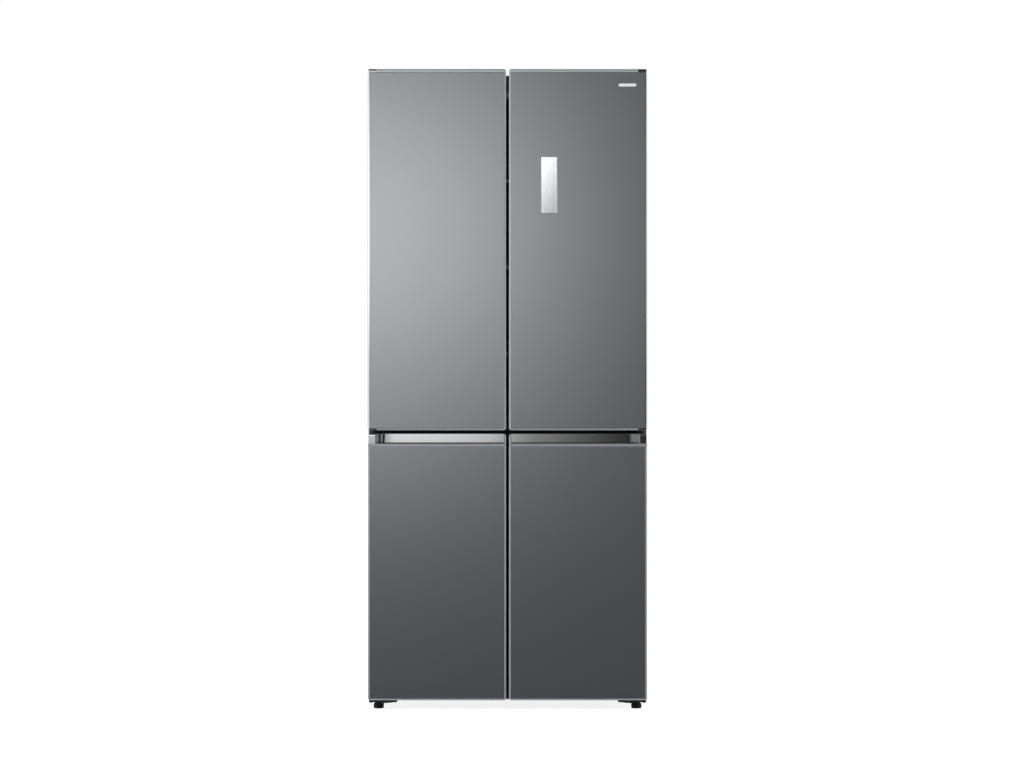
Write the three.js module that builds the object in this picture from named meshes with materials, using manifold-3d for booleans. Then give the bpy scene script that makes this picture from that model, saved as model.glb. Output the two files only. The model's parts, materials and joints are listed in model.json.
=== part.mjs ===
// A four-door french door refrigerator: a fridge compartment behind two tall upper doors and two
// freezer compartments behind two lower doors. Millimetres, +Z up, front towards -Y.
// The origin is on the floor, under the middle of the whole object.
import * as THREE from "three";
import { mergeVertices } from "three/addons/utils/BufferGeometryUtils.js";
import Module from "manifold-3d";

const wasm = await Module();
wasm.setup();

// ---------------------------------------------------------------- driving dimensions

const WIDTH = 790;
const HEIGHT = 1811;
const DEPTH = 700;
const FIT = 0.4; // gap between pieces that touch

// doors
const DOOR_THICKNESS = 62;
const SEAL_GAP = 12; // from a door's back to the cabinet's front
const DOOR_GAP = 8; // between a left door and a right door
const UPPER_DOOR = [791.4, HEIGHT];
const LOWER_DOOR = [29.5, 781.3];
const BORDER = 5; // frame showing round a door panel
const OUTER_BORDER = 6.2; // the same along a door's outer edge
const TOP_BORDER = 9; // the same along the top of an upper door
const PANEL_THICKNESS = 5;
const PANEL_INSET = 0.5; // how far a panel sits behind its frame's front
const EDGE_RADIUS = 5; // rounding of a door's front edges
const CORNER_RADIUS = 7; // rounding of a door's corners
const LINER_RADIUS = 14; // rounded corners of the liners
const TUB_RADIUS = 12; // rounded corners of bins and drawers
const RAIL = 12; // width of a door frame's side members
const END_MEMBER = 24; // height of a door frame's bottom member
const TOP_MEMBER = 52; // height of an upper door frame's top member, which holds the hinge pocket
const PIN_INSET = 17; // from a door's outer edge to its hinge pin
const PIN_AHEAD = 28; // from a door's back, forward to its hinge pin
const PIN_RADIUS = 5;
const BUSH_RADIUS = 5.5;
const KNUCKLE_RADIUS = 12; // round end of each hinge plate
const POCKET_DEPTH = 17; // hinge pocket in the top of an upper door
const POCKET_LENGTH = 62;
const POCKET_AHEAD = 22; // from the hinge pin forward to the pocket's wall, so that the door turns clear

// grip recess in the top of each lower door
const RECESS_FLOOR = 753.7; // top of the pull lip
const RECESS_DEPTH = 36;
const RECESS_END = 21; // end block at the outer edge
const RECESS_SLANT = 20; // length of the slanting end wall
const LIP_THICKNESS = 9;
const LIP_HEIGHT = 7.7;
const FINGER_POCKET = 18.7; // how far the recess drops behind the lip
const GRIP_MEMBER = 60.5; // height of the frame member that holds the recess
const GRIP_WALL = 2;
const GRIP_SLOPE = { bottom: 757, out: 4 }; // the bright face leans out a little towards its bottom edge

// display window in the upper right door
const DISPLAY = { x: 117, z: 1483.4, width: 45, height: 159 };

// cabinet
const CASE_WIDTH = 788;
const CASE_TOP = 1797.5;
const CASE_BOTTOM = 21;
const SHEET = 1.2;
const BASE_HEIGHT = 27.4;
const BASE_SHEET = 2.6;
const LINER = 2;
const FRIDGE_WALL = 50;
const FREEZER_WALL = 60;
const FRIDGE_SPACE = { z: [824, 1749], back: 284 };
const FREEZER_SPACE = { z: [100, 750], back: 272, stepTop: 300, stepFront: 60 };
const POST_HALF = 30; // half the width of the post between the freezers
const MACHINE_ROOM = { top: 250, front: 110 };
const BACK_PANEL = [343.4, 345.4];
const LEDGE = 7; // how far the shelf and drawer ledges stand out
const LEDGE_HEIGHT = 9;
const AIR_DUCT = {
  x: [-90, 90],
  z: [1040, 1720],
  depth: 26,
  slotX: 48,
  slotHeights: [1085, 1180, 1330, 1425, 1575, 1670],
  slotHalf: [30, 5],
};
const GUIDE = { half: 20, y: [-262, -215], height: 14, groove: 7 }; // cam block that turns the mullion

// insides
const SHELF_Y = [-170, 252];
const SHELF_GLASS = 5;
const SHELF_HEIGHTS = { upper: 1500, middle: 1254 };
const CRISPER_COVER_Z = 1006;
const CRISPER = { z: [825.6, 992], y: [-135, 240], front: 6, lip: 8, lipInset: 45 };
const BIN_WALL = 3;
const BINS = {
  low: { z: 850, height: 108, depth: 69 },
  middle: { z: 1150, height: 96, depth: 95 },
  high: { z: 1450, height: 86, depth: 95 },
};
const DYKE = { wall: 14, upperDepth: 40, lowerDepth: 12 };
const DRAWER_FRONT = -190;
const DRAWERS = {
  top: { z: [545, 726], back: 250 },
  middle: { z: [325, 509], back: 250 },
  bottom: { z: [108, 289], back: 50 },
};
const DRAWER_WALL = 3;
const DRAWER_RIM = 8; // how far a drawer's rim stands out over the ledges
const GASKET = { width: 14, inset: 10 };

// machine room
const COMPRESSOR = {
  at: [-150, 232],
  plate: [105, 55],
  rubber: [88, 42, 9],
  box: [60, 92],
  boxHalf: 28,
  boxZ: [78, 138],
};
const COMPRESSOR_SHELL = [
  [0, 44],
  [48, 44],
  [66, 56],
  [70, 80],
  [70, 132],
  [62, 160],
  [40, 176],
  [0, 182],
];
const COVER_SLOTS = { x: [-260, -150, -40, 70, 180], width: 80, height: 9, lowest: 78, pitch: 28, rows: 5 };
const GROMMET = { x: 330, z: 90, radius: 13, bore: 5 };

// hinges, as distances from the middle of the width
const TOP_HINGE = { inner: 345, back: -196, thickness: 3.2, pinBelow: 26 };
const HINGE_COVER = { x: [337, 393], back: -178 };
const MID_HINGE = { inner: 340, outer: 392, halfPlate: 2, halfFlange: 11, halfPin: 24 };
const BOTTOM_HINGE = { inner: 313, outer: 392, ahead: 17, back: -196, lipDepth: 4, pinAbove: 20 };
const BOTTOM_PLATE = [23, 27];
const BUSH_DEPTH = { top: 30, bottom: 22, grip: 24 };

// feet and rollers
const FOOT = { x: 366.5, y: -252, radius: 15, sole: 12.5, neck: 8, stem: 4, top: 75 };
const ROLLER = { x: 330, y: 285, radius: 20, width: 14, bore: 4.2, pin: 3.5, ear: 3 };

// mullion beam, hinged on the upper left door and folded back into the cabinet at rest
const MULLION = { hinge: [-31, -259.5], length: 50, thickness: 18, z: [846, 1722], knuckle: 4, pin: 2 };

// ---------------------------------------------------------------- worked out from those

const FRONT = -DEPTH / 2;
const BACK = DEPTH / 2;
const DOOR_BACK = FRONT + DOOR_THICKNESS;
const PANEL_BACK = FRONT + PANEL_THICKNESS;
const FRAME_BACK = DOOR_BACK - 2;
const CASE_FRONT = DOOR_BACK + SEAL_GAP;
const DOOR_X = [DOOR_GAP / 2, WIDTH / 2];
const PANEL_X = [DOOR_X[0] + BORDER, DOOR_X[1] - OUTER_BORDER];
const PIN = [WIDTH / 2 - PIN_INSET, DOOR_BACK - PIN_AHEAD];
const CASE_HALF = CASE_WIDTH / 2;
const CORE_HALF = CASE_HALF - SHEET - FIT; // what sits inside the case's sheet
const FRIDGE_HALF = CASE_HALF - FRIDGE_WALL;
const FREEZER_X = [POST_HALF, CASE_HALF - FREEZER_WALL];
const MOUTH_HALF = FRIDGE_HALF + LINER; // half the width of the opening in the case's front return
const MOUTH_TOP = FRIDGE_SPACE.z[1] + LINER;
const BASE_TOP = BASE_HEIGHT + BASE_SHEET;
const PLATE_FRONT = CASE_FRONT; // front of the steel rails that the seals close on
const RAIL_SHEET = 3;
const DYKE_X = [38, 340];
const THROUGH = 1; // how far a cutting block runs past a face

// ---------------------------------------------------------------- materials

const paint = (color, roughness, metalness) =>
  new THREE.MeshStandardMaterial({ color, roughness, metalness });
const MATERIALS = {
  panel: paint(0x6f7478, 0.35, 0.8),
  frame: paint(0xa4a8ab, 0.35, 0.8),
  chrome: paint(0xd9dadc, 0.15, 1),
  case: paint(0x4b4f52, 0.5, 0.4),
  steel: paint(0x8a8d90, 0.4, 0.9),
  black: paint(0x141517, 0.6, 0.1),
  white: paint(0xf0f1f2, 0.4, 0),
  clear: paint(0xdfe8ec, 0.1, 0),
  foam: paint(0xe6dfc2, 0.9, 0),
  seal: paint(0x9a9ea1, 0.7, 0),
  display: paint(0xe4e5e6, 0.1, 0),
  cover: paint(0x3a3d40, 0.6, 0),
};

// ---------------------------------------------------------------- solids

// A closed geometry as a solid that can be joined and cut.
function solid(geometry) {
  const bare = geometry.clone();
  bare.deleteAttribute("normal");
  bare.deleteAttribute("uv");
  const merged = mergeVertices(bare, 1e-4);
  return new wasm.Manifold(
    new wasm.Mesh({
      numProp: 3,
      vertProperties: merged.attributes.position.array,
      triVerts: new Uint32Array(merged.index.array),
    }),
  );
}

// A block between two x, two y and two z values.
function block([x0, x1], [y0, y1], [z0, z1]) {
  const box = new THREE.BoxGeometry(x1 - x0, y1 - y0, z1 - z0);
  return solid(box.translate((x0 + x1) / 2, (y0 + y1) / 2, (z0 + z1) / 2));
}

// An upright round bar.
function bar(radius, [x, y], [z0, z1], sides = 20) {
  const cylinder = new THREE.CylinderGeometry(radius, radius, z1 - z0, sides);
  return solid(cylinder.rotateX(Math.PI / 2).translate(x, y, (z0 + z1) / 2));
}

// A round bar along X.
function crossBar(radius, [x0, x1], [y, z], sides = 20) {
  const cylinder = new THREE.CylinderGeometry(radius, radius, x1 - x0, sides);
  return solid(cylinder.rotateZ(Math.PI / 2).translate((x0 + x1) / 2, y, z));
}

// A flat outline in X and Y, raised from z0 to z1.
function plate(points, [z0, z1]) {
  const shape = new THREE.Shape(points.map(([x, y]) => new THREE.Vector2(x, y)));
  const made = new THREE.ExtrudeGeometry(shape, { depth: z1 - z0, bevelEnabled: false });
  return solid(made.translate(0, 0, z0));
}

// A rectangle in two directions u and v whose corners are rounded, with the four radii given
// anticlockwise from the corner where both are lowest.
function softRectangle([u0, u1], [v0, v1], [a, b, c, d]) {
  const shape = new THREE.Shape();
  const corner = (u, v, radius, turn) => {
    if (radius > 0) shape.absarc(u, v, radius, turn, turn + Math.PI / 2);
    else shape.lineTo(u, v);
  };
  shape.moveTo(u0 + a, v0);
  corner(u1 - b, v0 + b, b, -Math.PI / 2);
  corner(u1 - c, v1 - c, c, 0);
  corner(u0 + d, v1 - d, d, Math.PI / 2);
  corner(u0 + a, v0 + a, a, Math.PI);
  return shape;
}

const extruded = (shape, length) =>
  new THREE.ExtrudeGeometry(shape, { depth: length, bevelEnabled: false, curveSegments: 2 });

// An outline extruded along one axis: in Y and Z along X, in X and Z along Y, or in X and Y along Z.
const alongX = (shape, [x0, x1]) =>
  solid(extruded(shape, x1 - x0).rotateX(Math.PI / 2).rotateZ(Math.PI / 2).translate(x0, 0, 0));
const alongY = (shape, [y0, y1]) => solid(extruded(shape, y1 - y0).rotateX(Math.PI / 2).translate(0, y1, 0));
const alongZ = (shape, [z0, z1]) => solid(extruded(shape, z1 - z0).translate(0, 0, z0));

// A block whose edges along Y are rounded, and one whose upright edges are.
const softAlongY = (x, y, z, radius) => alongY(softRectangle(x, z, Array(4).fill(radius)), y);
const softUpright = (x, y, z, radius) => alongZ(softRectangle(x, y, Array(4).fill(radius)), z);

// A radius profile turned about an upright axis at [x, y].
function turned(profile, [x, y], sides = 24) {
  const lathe = new THREE.LatheGeometry(
    profile.map(([r, z]) => new THREE.Vector2(r, z)),
    sides,
  );
  return solid(lathe.rotateX(Math.PI / 2).translate(x, y, 0));
}

const join = (...solids) => solids.reduce((a, b) => a.add(b));
const cut = (from, ...solids) => solids.reduce((a, b) => a.subtract(b), from);

// An x span on the right half, or its mirror image for side -1.
const span = (side, [a, b]) => (side > 0 ? [a, b] : [-b, -a]);

// A pair [low, high] made longer by more at each end.
const grown = ([a, b], more) => [a - more, b + more];

const part = new THREE.Group();

// Adds a solid to the object as a named mesh.
function add(name, made, material) {
  const { vertProperties, triVerts } = made.getMesh();
  const geometry = new THREE.BufferGeometry()
    .setAttribute("position", new THREE.BufferAttribute(vertProperties, 3))
    .setIndex(new THREE.BufferAttribute(triVerts, 1));
  geometry.computeVertexNormals();
  const mesh = new THREE.Mesh(geometry, material);
  mesh.name = name;
  part.add(mesh);
}

const SIDES = [
  ["left", -1],
  ["right", 1],
];

// ---------------------------------------------------------------- cabinet

// The painted steel wrapper: two sides and a top, with returns round the front.
function outerCase() {
  const outside = block([-CASE_HALF, CASE_HALF], [CASE_FRONT, BACK], [CASE_BOTTOM, CASE_TOP]);
  const inside = block(
    grown([-CASE_HALF, CASE_HALF], -SHEET),
    [CASE_FRONT + SHEET, BACK + THROUGH],
    [CASE_BOTTOM - THROUGH, CASE_TOP - SHEET],
  );
  const front = grown([CASE_FRONT, CASE_FRONT + SHEET], THROUGH);
  const mouthZ = [CASE_BOTTOM - THROUGH, MOUTH_TOP + FIT];
  const mouth = block(grown([-MOUTH_HALF, MOUTH_HALF], FIT), front, mouthZ);
  const hingeNotch = block([-CORE_HALF, CORE_HALF], front, [CASE_BOTTOM - THROUGH, BASE_TOP + FIT]);
  return cut(outside, inside, mouth, hingeNotch);
}

function backPanel() {
  return block([-CORE_HALF, CORE_HALF], BACK_PANEL, [MACHINE_ROOM.top + 6, CASE_TOP - SHEET - FIT]);
}

// The bottom sheet with its front upstand, wheel wells, and the ears and pins of the rollers.
function basePan() {
  const sheet = block([-CORE_HALF, CORE_HALF], [CASE_FRONT + 2, BACK_PANEL[0]], [BASE_HEIGHT, BASE_TOP]);
  const upstand = block(
    [-MOUTH_HALF, MOUTH_HALF],
    [PLATE_FRONT, PLATE_FRONT + RAIL_SHEET],
    [BASE_HEIGHT, FREEZER_SPACE.z[0] - LINER - FIT],
  );
  const throughPan = grown([BASE_HEIGHT, BASE_TOP], THROUGH);
  const cuts = [];
  for (const [, side] of SIDES) {
    const centre = side * ROLLER.x;
    const half = ROLLER.width / 2 + 2;
    cuts.push(
      block([centre - half, centre + half], grown([ROLLER.y, ROLLER.y], ROLLER.radius + 3), throughPan),
      bar(FOOT.stem + 1.5, [side * FOOT.x, FOOT.y], throughPan),
    );
  }
  const pan = cut(join(sheet, upstand), ...cuts);
  return join(pan, ...SIDES.flatMap(([, side]) => rollerEars(side)));
}

// Two ears on the base pan with the roller's axle pin between them.
function rollerEars(side) {
  const centre = side * ROLLER.x;
  const inner = ROLLER.width / 2 + 2;
  const outer = inner + ROLLER.ear;
  const ear = (x) => block(x, grown([ROLLER.y, ROLLER.y], 9), [ROLLER.radius - 8, BASE_TOP]);
  return [
    ear([centre - outer, centre - inner]),
    ear([centre + inner, centre + outer]),
    crossBar(ROLLER.pin, [centre - outer, centre + outer], [ROLLER.y, ROLLER.radius]),
  ];
}

// The two pockets of the freezer, grown by the given amount; the back steps over the machine room.
function freezerPockets(more) {
  const { z, back, stepTop, stepFront } = FREEZER_SPACE;
  return join(
    ...SIDES.map(([, side]) => {
      const x = span(side, grown(FREEZER_X, more));
      const radius = LINER_RADIUS + more;
      const whole = softAlongY(x, [CASE_FRONT - THROUGH, back + more], grown(z, more), radius);
      return cut(whole, block(grown(x, THROUGH), [stepFront + more, BACK], [0, stepTop - more]));
    }),
  );
}

function fridgePocket(more) {
  const { z, back } = FRIDGE_SPACE;
  const x = grown([-FRIDGE_HALF, FRIDGE_HALF], more);
  return softAlongY(x, [CASE_FRONT - THROUGH, back + more], grown(z, more), LINER_RADIUS + more);
}

const FOAM_FRONT = PLATE_FRONT + RAIL_SHEET + FIT;
const WEB = [FOAM_FRONT, FOAM_FRONT + LINER]; // front flange that joins the two freezer pockets
const WEB_LAP = LINER + 1.5; // how far it reaches above and below them

// Foamed-in-place insulation between the case and the liners.
function cabinetFoam() {
  const whole = block([-CORE_HALF, CORE_HALF], [FOAM_FRONT, BACK_PANEL[0] - FIT], [
    BASE_TOP + FIT,
    CASE_TOP - SHEET - FIT,
  ]);
  const machineRoom = block(
    grown([-CORE_HALF, CORE_HALF], THROUGH),
    [MACHINE_ROOM.front, BACK],
    [0, MACHINE_ROOM.top],
  );
  const webSlot = block(
    grown([-MOUTH_HALF, MOUTH_HALF], FIT),
    [FOAM_FRONT - THROUGH, WEB[1] + FIT],
    grown(FREEZER_SPACE.z, WEB_LAP + FIT),
  );
  const stemZ = [BASE_HEIGHT, FOOT.top + 7];
  const stems = SIDES.map(([, side]) => bar(FOOT.stem + 3, [side * FOOT.x, FOOT.y], stemZ));
  return cut(whole, fridgePocket(LINER + FIT), freezerPockets(LINER + FIT), machineRoom, webSlot, ...stems);
}

// Ledges on both walls of a pocket, whose tops are at the given heights.
function ledges(walls, y, tops) {
  return tops.flatMap((top) =>
    walls.map(([wall, inward]) =>
      block([wall, wall + inward * LEDGE].sort((a, b) => a - b), y, [top - LEDGE_HEIGHT, top]),
    ),
  );
}

function fridgeLiner() {
  const front = CASE_FRONT + SHEET;
  const trim = block([-CASE_HALF, CASE_HALF], [FRONT, front], [0, HEIGHT]);
  const shell = cut(fridgePocket(LINER), trim, fridgePocket(0));
  const walls = [
    [-FRIDGE_HALF, 1],
    [FRIDGE_HALF, -1],
  ];
  const tops = [SHELF_HEIGHTS.upper, SHELF_HEIGHTS.middle, CRISPER_COVER_Z].map((z) => z - FIT);
  return join(shell, ...ledges(walls, [SHELF_Y[0] + 20, SHELF_Y[1]], tops));
}

// Both freezer pockets and the web that joins them, as one moulding with drawer ledges.
function freezerLiner() {
  const trim = block([-CASE_HALF, CASE_HALF], [FRONT, FOAM_FRONT], [0, HEIGHT]);
  const web = block([-MOUTH_HALF, MOUTH_HALF], WEB, grown(FREEZER_SPACE.z, WEB_LAP));
  const shell = cut(join(freezerPockets(LINER), web), trim, freezerPockets(0));
  const walls = [-FREEZER_X[1], -FREEZER_X[0], FREEZER_X[0], FREEZER_X[1]].map((x, i) => [x, i % 2 ? -1 : 1]);
  return join(
    shell,
    ...Object.values(DRAWERS).flatMap(({ z, back }) =>
      ledges(walls, [DRAWER_FRONT + 15, back], [z[1] - 4 - FIT]),
    ),
  );
}

// The T of steel that divides the cabinet's mouth: a rail under the fridge and a post between the freezers.
function dividerRail() {
  const y = [PLATE_FRONT, PLATE_FRONT + RAIL_SHEET];
  const rail = block([-MOUTH_HALF, MOUTH_HALF], y, [FREEZER_SPACE.z[1], FRIDGE_SPACE.z[0] - LINER - FIT]);
  const post = block([-POST_HALF, POST_HALF], y, [FREEZER_SPACE.z[0] - LINER, FREEZER_SPACE.z[1]]);
  return join(rail, post);
}

// Cold air duct on the fridge's back wall, with outlet slots.
function airDuct() {
  const { x, z, depth, slotX, slotHeights, slotHalf } = AIR_DUCT;
  const front = FRIDGE_SPACE.back - depth;
  const duct = cut(
    block(x, [front, FRIDGE_SPACE.back - FIT], z),
    block(grown(x, -LINER), [front + LINER, FRIDGE_SPACE.back], grown(z, -LINER)),
  );
  const slotY = grown([front, front + LINER], THROUGH);
  const slots = slotHeights.flatMap((height) =>
    [-slotX, slotX].map((middle) =>
      block(grown([middle, middle], slotHalf[0]), slotY, grown([height, height], slotHalf[1])),
    ),
  );
  return cut(duct, ...slots);
}

function shelf(z) {
  return block(grown([-FRIDGE_HALF, FRIDGE_HALF], -2), SHELF_Y, [z, z + SHELF_GLASS]);
}

// The cam block at the top of the fridge's mouth that turns the mullion beam.
function mullionGuide() {
  const { half, y, height, groove } = GUIDE;
  const low = FRIDGE_SPACE.z[1] - height;
  const cam = block([-half, half], y, [low, FRIDGE_SPACE.z[1] - FIT]);
  const track = plate(
    [
      [-half - THROUGH, -240],
      [-6, -256],
      [4, -256],
      [4, -248],
      [-4, -248],
      [-half - THROUGH, -230],
    ],
    [low - THROUGH, low + groove],
  );
  return cut(cam, track);
}

// ---------------------------------------------------------------- machine room

// Hermetic compressor on its mounting plate.
function compressor() {
  const { at, plate: half, rubber, box, boxHalf, boxZ } = COMPRESSOR;
  const [x, y] = at;
  const plateZ = [BASE_TOP + 9, BASE_TOP + 15];
  const shell = turned(COMPRESSOR_SHELL, at, 20);
  const feet = block(grown([x, x], half[0]), grown([y, y], half[1]), plateZ);
  const rubberZ = [BASE_TOP + FIT, plateZ[0] + 3];
  const mounts = [-rubber[0], rubber[0]].flatMap((dx) =>
    [-rubber[1], rubber[1]].map((dy) => bar(rubber[2], [x + dx, y + dy], rubberZ, 12)),
  );
  const terminals = block([x + box[0], x + box[1]], grown([y, y], boxHalf), boxZ);
  return join(shell, feet, terminals, ...mounts);
}

// Rear cover of the machine room, with air slots and the grommet of the mains lead.
function machineCover() {
  const y = [BACK_PANEL[0] + FIT, BACK_PANEL[1] + 1];
  const sheet = block(grown([-CORE_HALF, CORE_HALF], -6), y, [BASE_TOP + 8, MACHINE_ROOM.top + 4]);
  const { lowest, pitch, rows, width, height } = COVER_SLOTS;
  const heights = Array.from({ length: rows }, (_, row) => lowest + row * pitch);
  const slots = heights.flatMap((z) =>
    COVER_SLOTS.x.map((x) => block([x, x + width], grown(y, THROUGH), [z, z + height])),
  );
  const ring = (radius, more) => {
    const cylinder = new THREE.CylinderGeometry(radius, radius, BACK - y[0] + 2 * more, 20);
    return solid(cylinder.translate(GROMMET.x, (y[0] + BACK) / 2, GROMMET.z));
  };
  return cut(join(sheet, ring(GROMMET.radius, 0)), ...slots, ring(GROMMET.bore, THROUGH));
}

// ---------------------------------------------------------------- hinges, feet and rollers

// A hinge plate's outline: a round end about the pin, and a tongue back to the given y.
function knuckle(side, toY, radius = KNUCKLE_RADIUS) {
  const points = [];
  const steps = 10;
  for (let i = 0; i <= steps; i += 1) {
    const angle = Math.PI + (Math.PI * i) / steps;
    points.push([side * PIN[0] + radius * Math.cos(angle), PIN[1] + radius * Math.sin(angle)]);
  }
  points.push([side * PIN[0] + radius, toY], [side * PIN[0] - radius, toY]);
  return points;
}

const pinAt = (side) => [side * PIN[0], PIN[1]];
const TOP_PLATE = [CASE_TOP + FIT, CASE_TOP + FIT + TOP_HINGE.thickness];
const TONGUE_BACK = CASE_FRONT + 5;

function topHinge(side) {
  const { inner, back, pinBelow } = TOP_HINGE;
  const foot = block(span(side, [inner, PIN[0] + KNUCKLE_RADIUS]), [CASE_FRONT + 4, back], TOP_PLATE);
  const tongue = plate(knuckle(side, TONGUE_BACK), TOP_PLATE);
  const pin = bar(PIN_RADIUS, pinAt(side), [UPPER_DOOR[1] - POCKET_DEPTH - pinBelow, TOP_PLATE[1]]);
  return join(foot, tongue, pin);
}

// Low plastic cap over the top hinge.
function hingeCover(side) {
  const z = [TOP_PLATE[1] + FIT, HEIGHT - 0.5];
  const cap = block(span(side, HINGE_COVER.x), [CASE_FRONT + 4, HINGE_COVER.back], [CASE_TOP + FIT, z[1]]);
  const nose = plate(knuckle(side, TONGUE_BACK), z);
  const seat = block(
    span(side, grown([TOP_HINGE.inner, PIN[0] + KNUCKLE_RADIUS], FIT)),
    [CASE_FRONT - THROUGH, TOP_HINGE.back + FIT],
    [0, z[0]],
  );
  return cut(join(cap, nose), seat);
}

// The plate in the gap between the doors, with a pin up into the upper door and down into the lower.
function midHinge(side) {
  const { inner, outer, halfPlate, halfFlange, halfPin } = MID_HINGE;
  const middle = (UPPER_DOOR[0] + LOWER_DOOR[1]) / 2;
  const at = [middle, middle];
  const y = [PLATE_FRONT - FIT - 3, PLATE_FRONT - FIT];
  const tongue = plate(knuckle(side, y[1]), grown(at, halfPlate));
  const flange = block(span(side, [inner, outer]), y, grown(at, halfFlange));
  const pin = bar(PIN_RADIUS, pinAt(side), grown(at, halfPin));
  return join(tongue, flange, pin);
}

// The plate under the lower door and the cabinet, with its tapering front lip.
function bottomHinge(side) {
  const z = BOTTOM_PLATE;
  const { inner, outer, ahead, back, lipDepth, pinAbove } = BOTTOM_HINGE;
  const flat = block(span(side, [inner, outer]), [FRONT + ahead, back], z);
  const low = z[0] - 2.6;
  const lip = new THREE.Shape(
    [
      [inner, z[1]],
      [inner + 5, z[0] + 1],
      [inner + 17, z[0] - 1],
      [inner + 37, low],
      [inner + 59, low],
      [inner + 62, z[0]],
      [outer, z[0]],
      [outer, z[1]],
    ].map(([x, height]) => new THREE.Vector2(side * x, height)),
  );
  const lipSolid = solid(
    new THREE.ExtrudeGeometry(lip, { depth: lipDepth, bevelEnabled: false })
      .rotateX(Math.PI / 2)
      .translate(0, FRONT + ahead + THROUGH, 0),
  );
  const pin = bar(PIN_RADIUS, pinAt(side), [z[0], LOWER_DOOR[0] + pinAbove]);
  const stemHole = bar(FOOT.stem + 1, [side * FOOT.x, FOOT.y], grown(z, THROUGH));
  return cut(join(flat, lipSolid, pin), stemHole);
}

// Levelling foot: a round cap on a stem.
function foot(side) {
  const { radius, sole, neck, stem, top } = FOOT;
  const neckTop = BOTTOM_PLATE[0] - FIT;
  const profile = [
    [0, 0],
    [sole, 0],
    [radius, 3],
    [radius, 13],
    [radius - 2, 15],
    [neck, 15.5],
    [neck, neckTop],
    [stem, neckTop],
    [stem, top - 1],
    [0, top],
  ];
  return turned(profile, [side * FOOT.x, FOOT.y], 20);
}

// Rear transport roller with its bore.
function roller(side) {
  const x = [side * ROLLER.x - ROLLER.width / 2, side * ROLLER.x + ROLLER.width / 2];
  const centre = [ROLLER.y, ROLLER.radius];
  const wheel = crossBar(ROLLER.radius, x, centre, 32);
  return cut(wheel, crossBar(ROLLER.bore, grown(x, THROUGH), centre));
}

// ---------------------------------------------------------------- doors

// The opening in a door frame that the door's core fills.
function doorCavity(side, z, less) {
  const x = span(side, grown(DOOR_X, -RAIL - less));
  return block(x, [PANEL_BACK, DOOR_BACK], grown(z, -less));
}

function panelSeat(side, z, less) {
  const x = span(side, grown(PANEL_X, -less));
  return block(x, [FRONT - THROUGH, PANEL_BACK + FIT], grown(z, -less));
}

const UPPER_CAVITY = [UPPER_DOOR[0] + END_MEMBER, UPPER_DOOR[1] - TOP_MEMBER];
const UPPER_PANEL = [UPPER_DOOR[0] + BORDER, UPPER_DOOR[1] - TOP_BORDER];
const LOWER_CAVITY = [LOWER_DOOR[0] + END_MEMBER, LOWER_DOOR[1] - GRIP_MEMBER];
const LOWER_PANEL = [LOWER_DOOR[0] + BORDER, RECESS_FLOOR - LIP_HEIGHT];

// A door's outer form, with its front edges and its corners rounded.
function doorBlank(side, z) {
  const x = span(side, DOOR_X);
  const y = [FRONT, FRAME_BACK];
  const r = EDGE_RADIUS;
  const plan = alongZ(softRectangle(x, y, [r, r, 0, 0]), z);
  const profile = alongX(softRectangle(y, z, [r, 0, 0, r]), x);
  return plan.intersect(profile).intersect(softAlongY(x, y, z, CORNER_RADIUS));
}

function upperFrame(side) {
  const [bottom, top] = UPPER_DOOR;
  const whole = doorBlank(side, UPPER_DOOR);
  const hingePocket = block(
    span(side, [WIDTH / 2 - POCKET_LENGTH, WIDTH / 2 + THROUGH]),
    [PIN[1] - POCKET_AHEAD, DOOR_BACK],
    [top - POCKET_DEPTH, top + THROUGH],
  );
  const fingerGroove = block(span(side, [25, 350]), [FRONT + 8, FRONT + 32], [bottom - THROUGH, bottom + 16]);
  return cut(
    whole,
    panelSeat(side, UPPER_PANEL, 0),
    doorCavity(side, UPPER_CAVITY, 0),
    hingePocket,
    fingerGroove,
    bar(BUSH_RADIUS, pinAt(side), [top - POCKET_DEPTH - BUSH_DEPTH.top, top]),
    bar(BUSH_RADIUS, pinAt(side), [bottom - THROUGH, bottom + BUSH_DEPTH.bottom]),
  );
}

// The grip recess of a lower door as a plan outline: straight back, with a slanting outer end.
function recessOutline(side, frontY, backY, less) {
  const outer = WIDTH / 2 - RECESS_END;
  const slope = RECESS_SLANT / RECESS_DEPTH;
  const endAt = (y) => outer - (y - FRONT) * slope - less * Math.hypot(1, slope);
  const inner = DOOR_X[0] + 4 + less;
  const back = backY - less;
  const points = [
    [inner, frontY],
    [endAt(frontY), frontY],
    [endAt(back), back],
    [inner, back],
  ];
  return side > 0 ? points : points.map(([x, y]) => [-x, y]).reverse();
}

const RECESS_BACK = FRONT + RECESS_DEPTH;
const RECESS_FRONT = FRONT + LIP_THICKNESS;
const POCKET_FLOOR = RECESS_FLOOR - FINGER_POCKET;

function lowerFrame(side) {
  const [bottom, top] = LOWER_DOOR;
  const whole = doorBlank(side, LOWER_DOOR);
  return cut(
    whole,
    panelSeat(side, LOWER_PANEL, 0),
    doorCavity(side, LOWER_CAVITY, 0),
    plate(recessOutline(side, FRONT - THROUGH, RECESS_BACK, 0), [RECESS_FLOOR, top + THROUGH]),
    plate(recessOutline(side, RECESS_FRONT, RECESS_BACK, 0), [POCKET_FLOOR, RECESS_FLOOR + THROUGH]),
    bar(BUSH_RADIUS, pinAt(side), [top - BUSH_DEPTH.grip, top + THROUGH]),
    bar(BUSH_RADIUS, pinAt(side), [bottom - THROUGH, bottom + BUSH_DEPTH.bottom]),
  );
}

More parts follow.
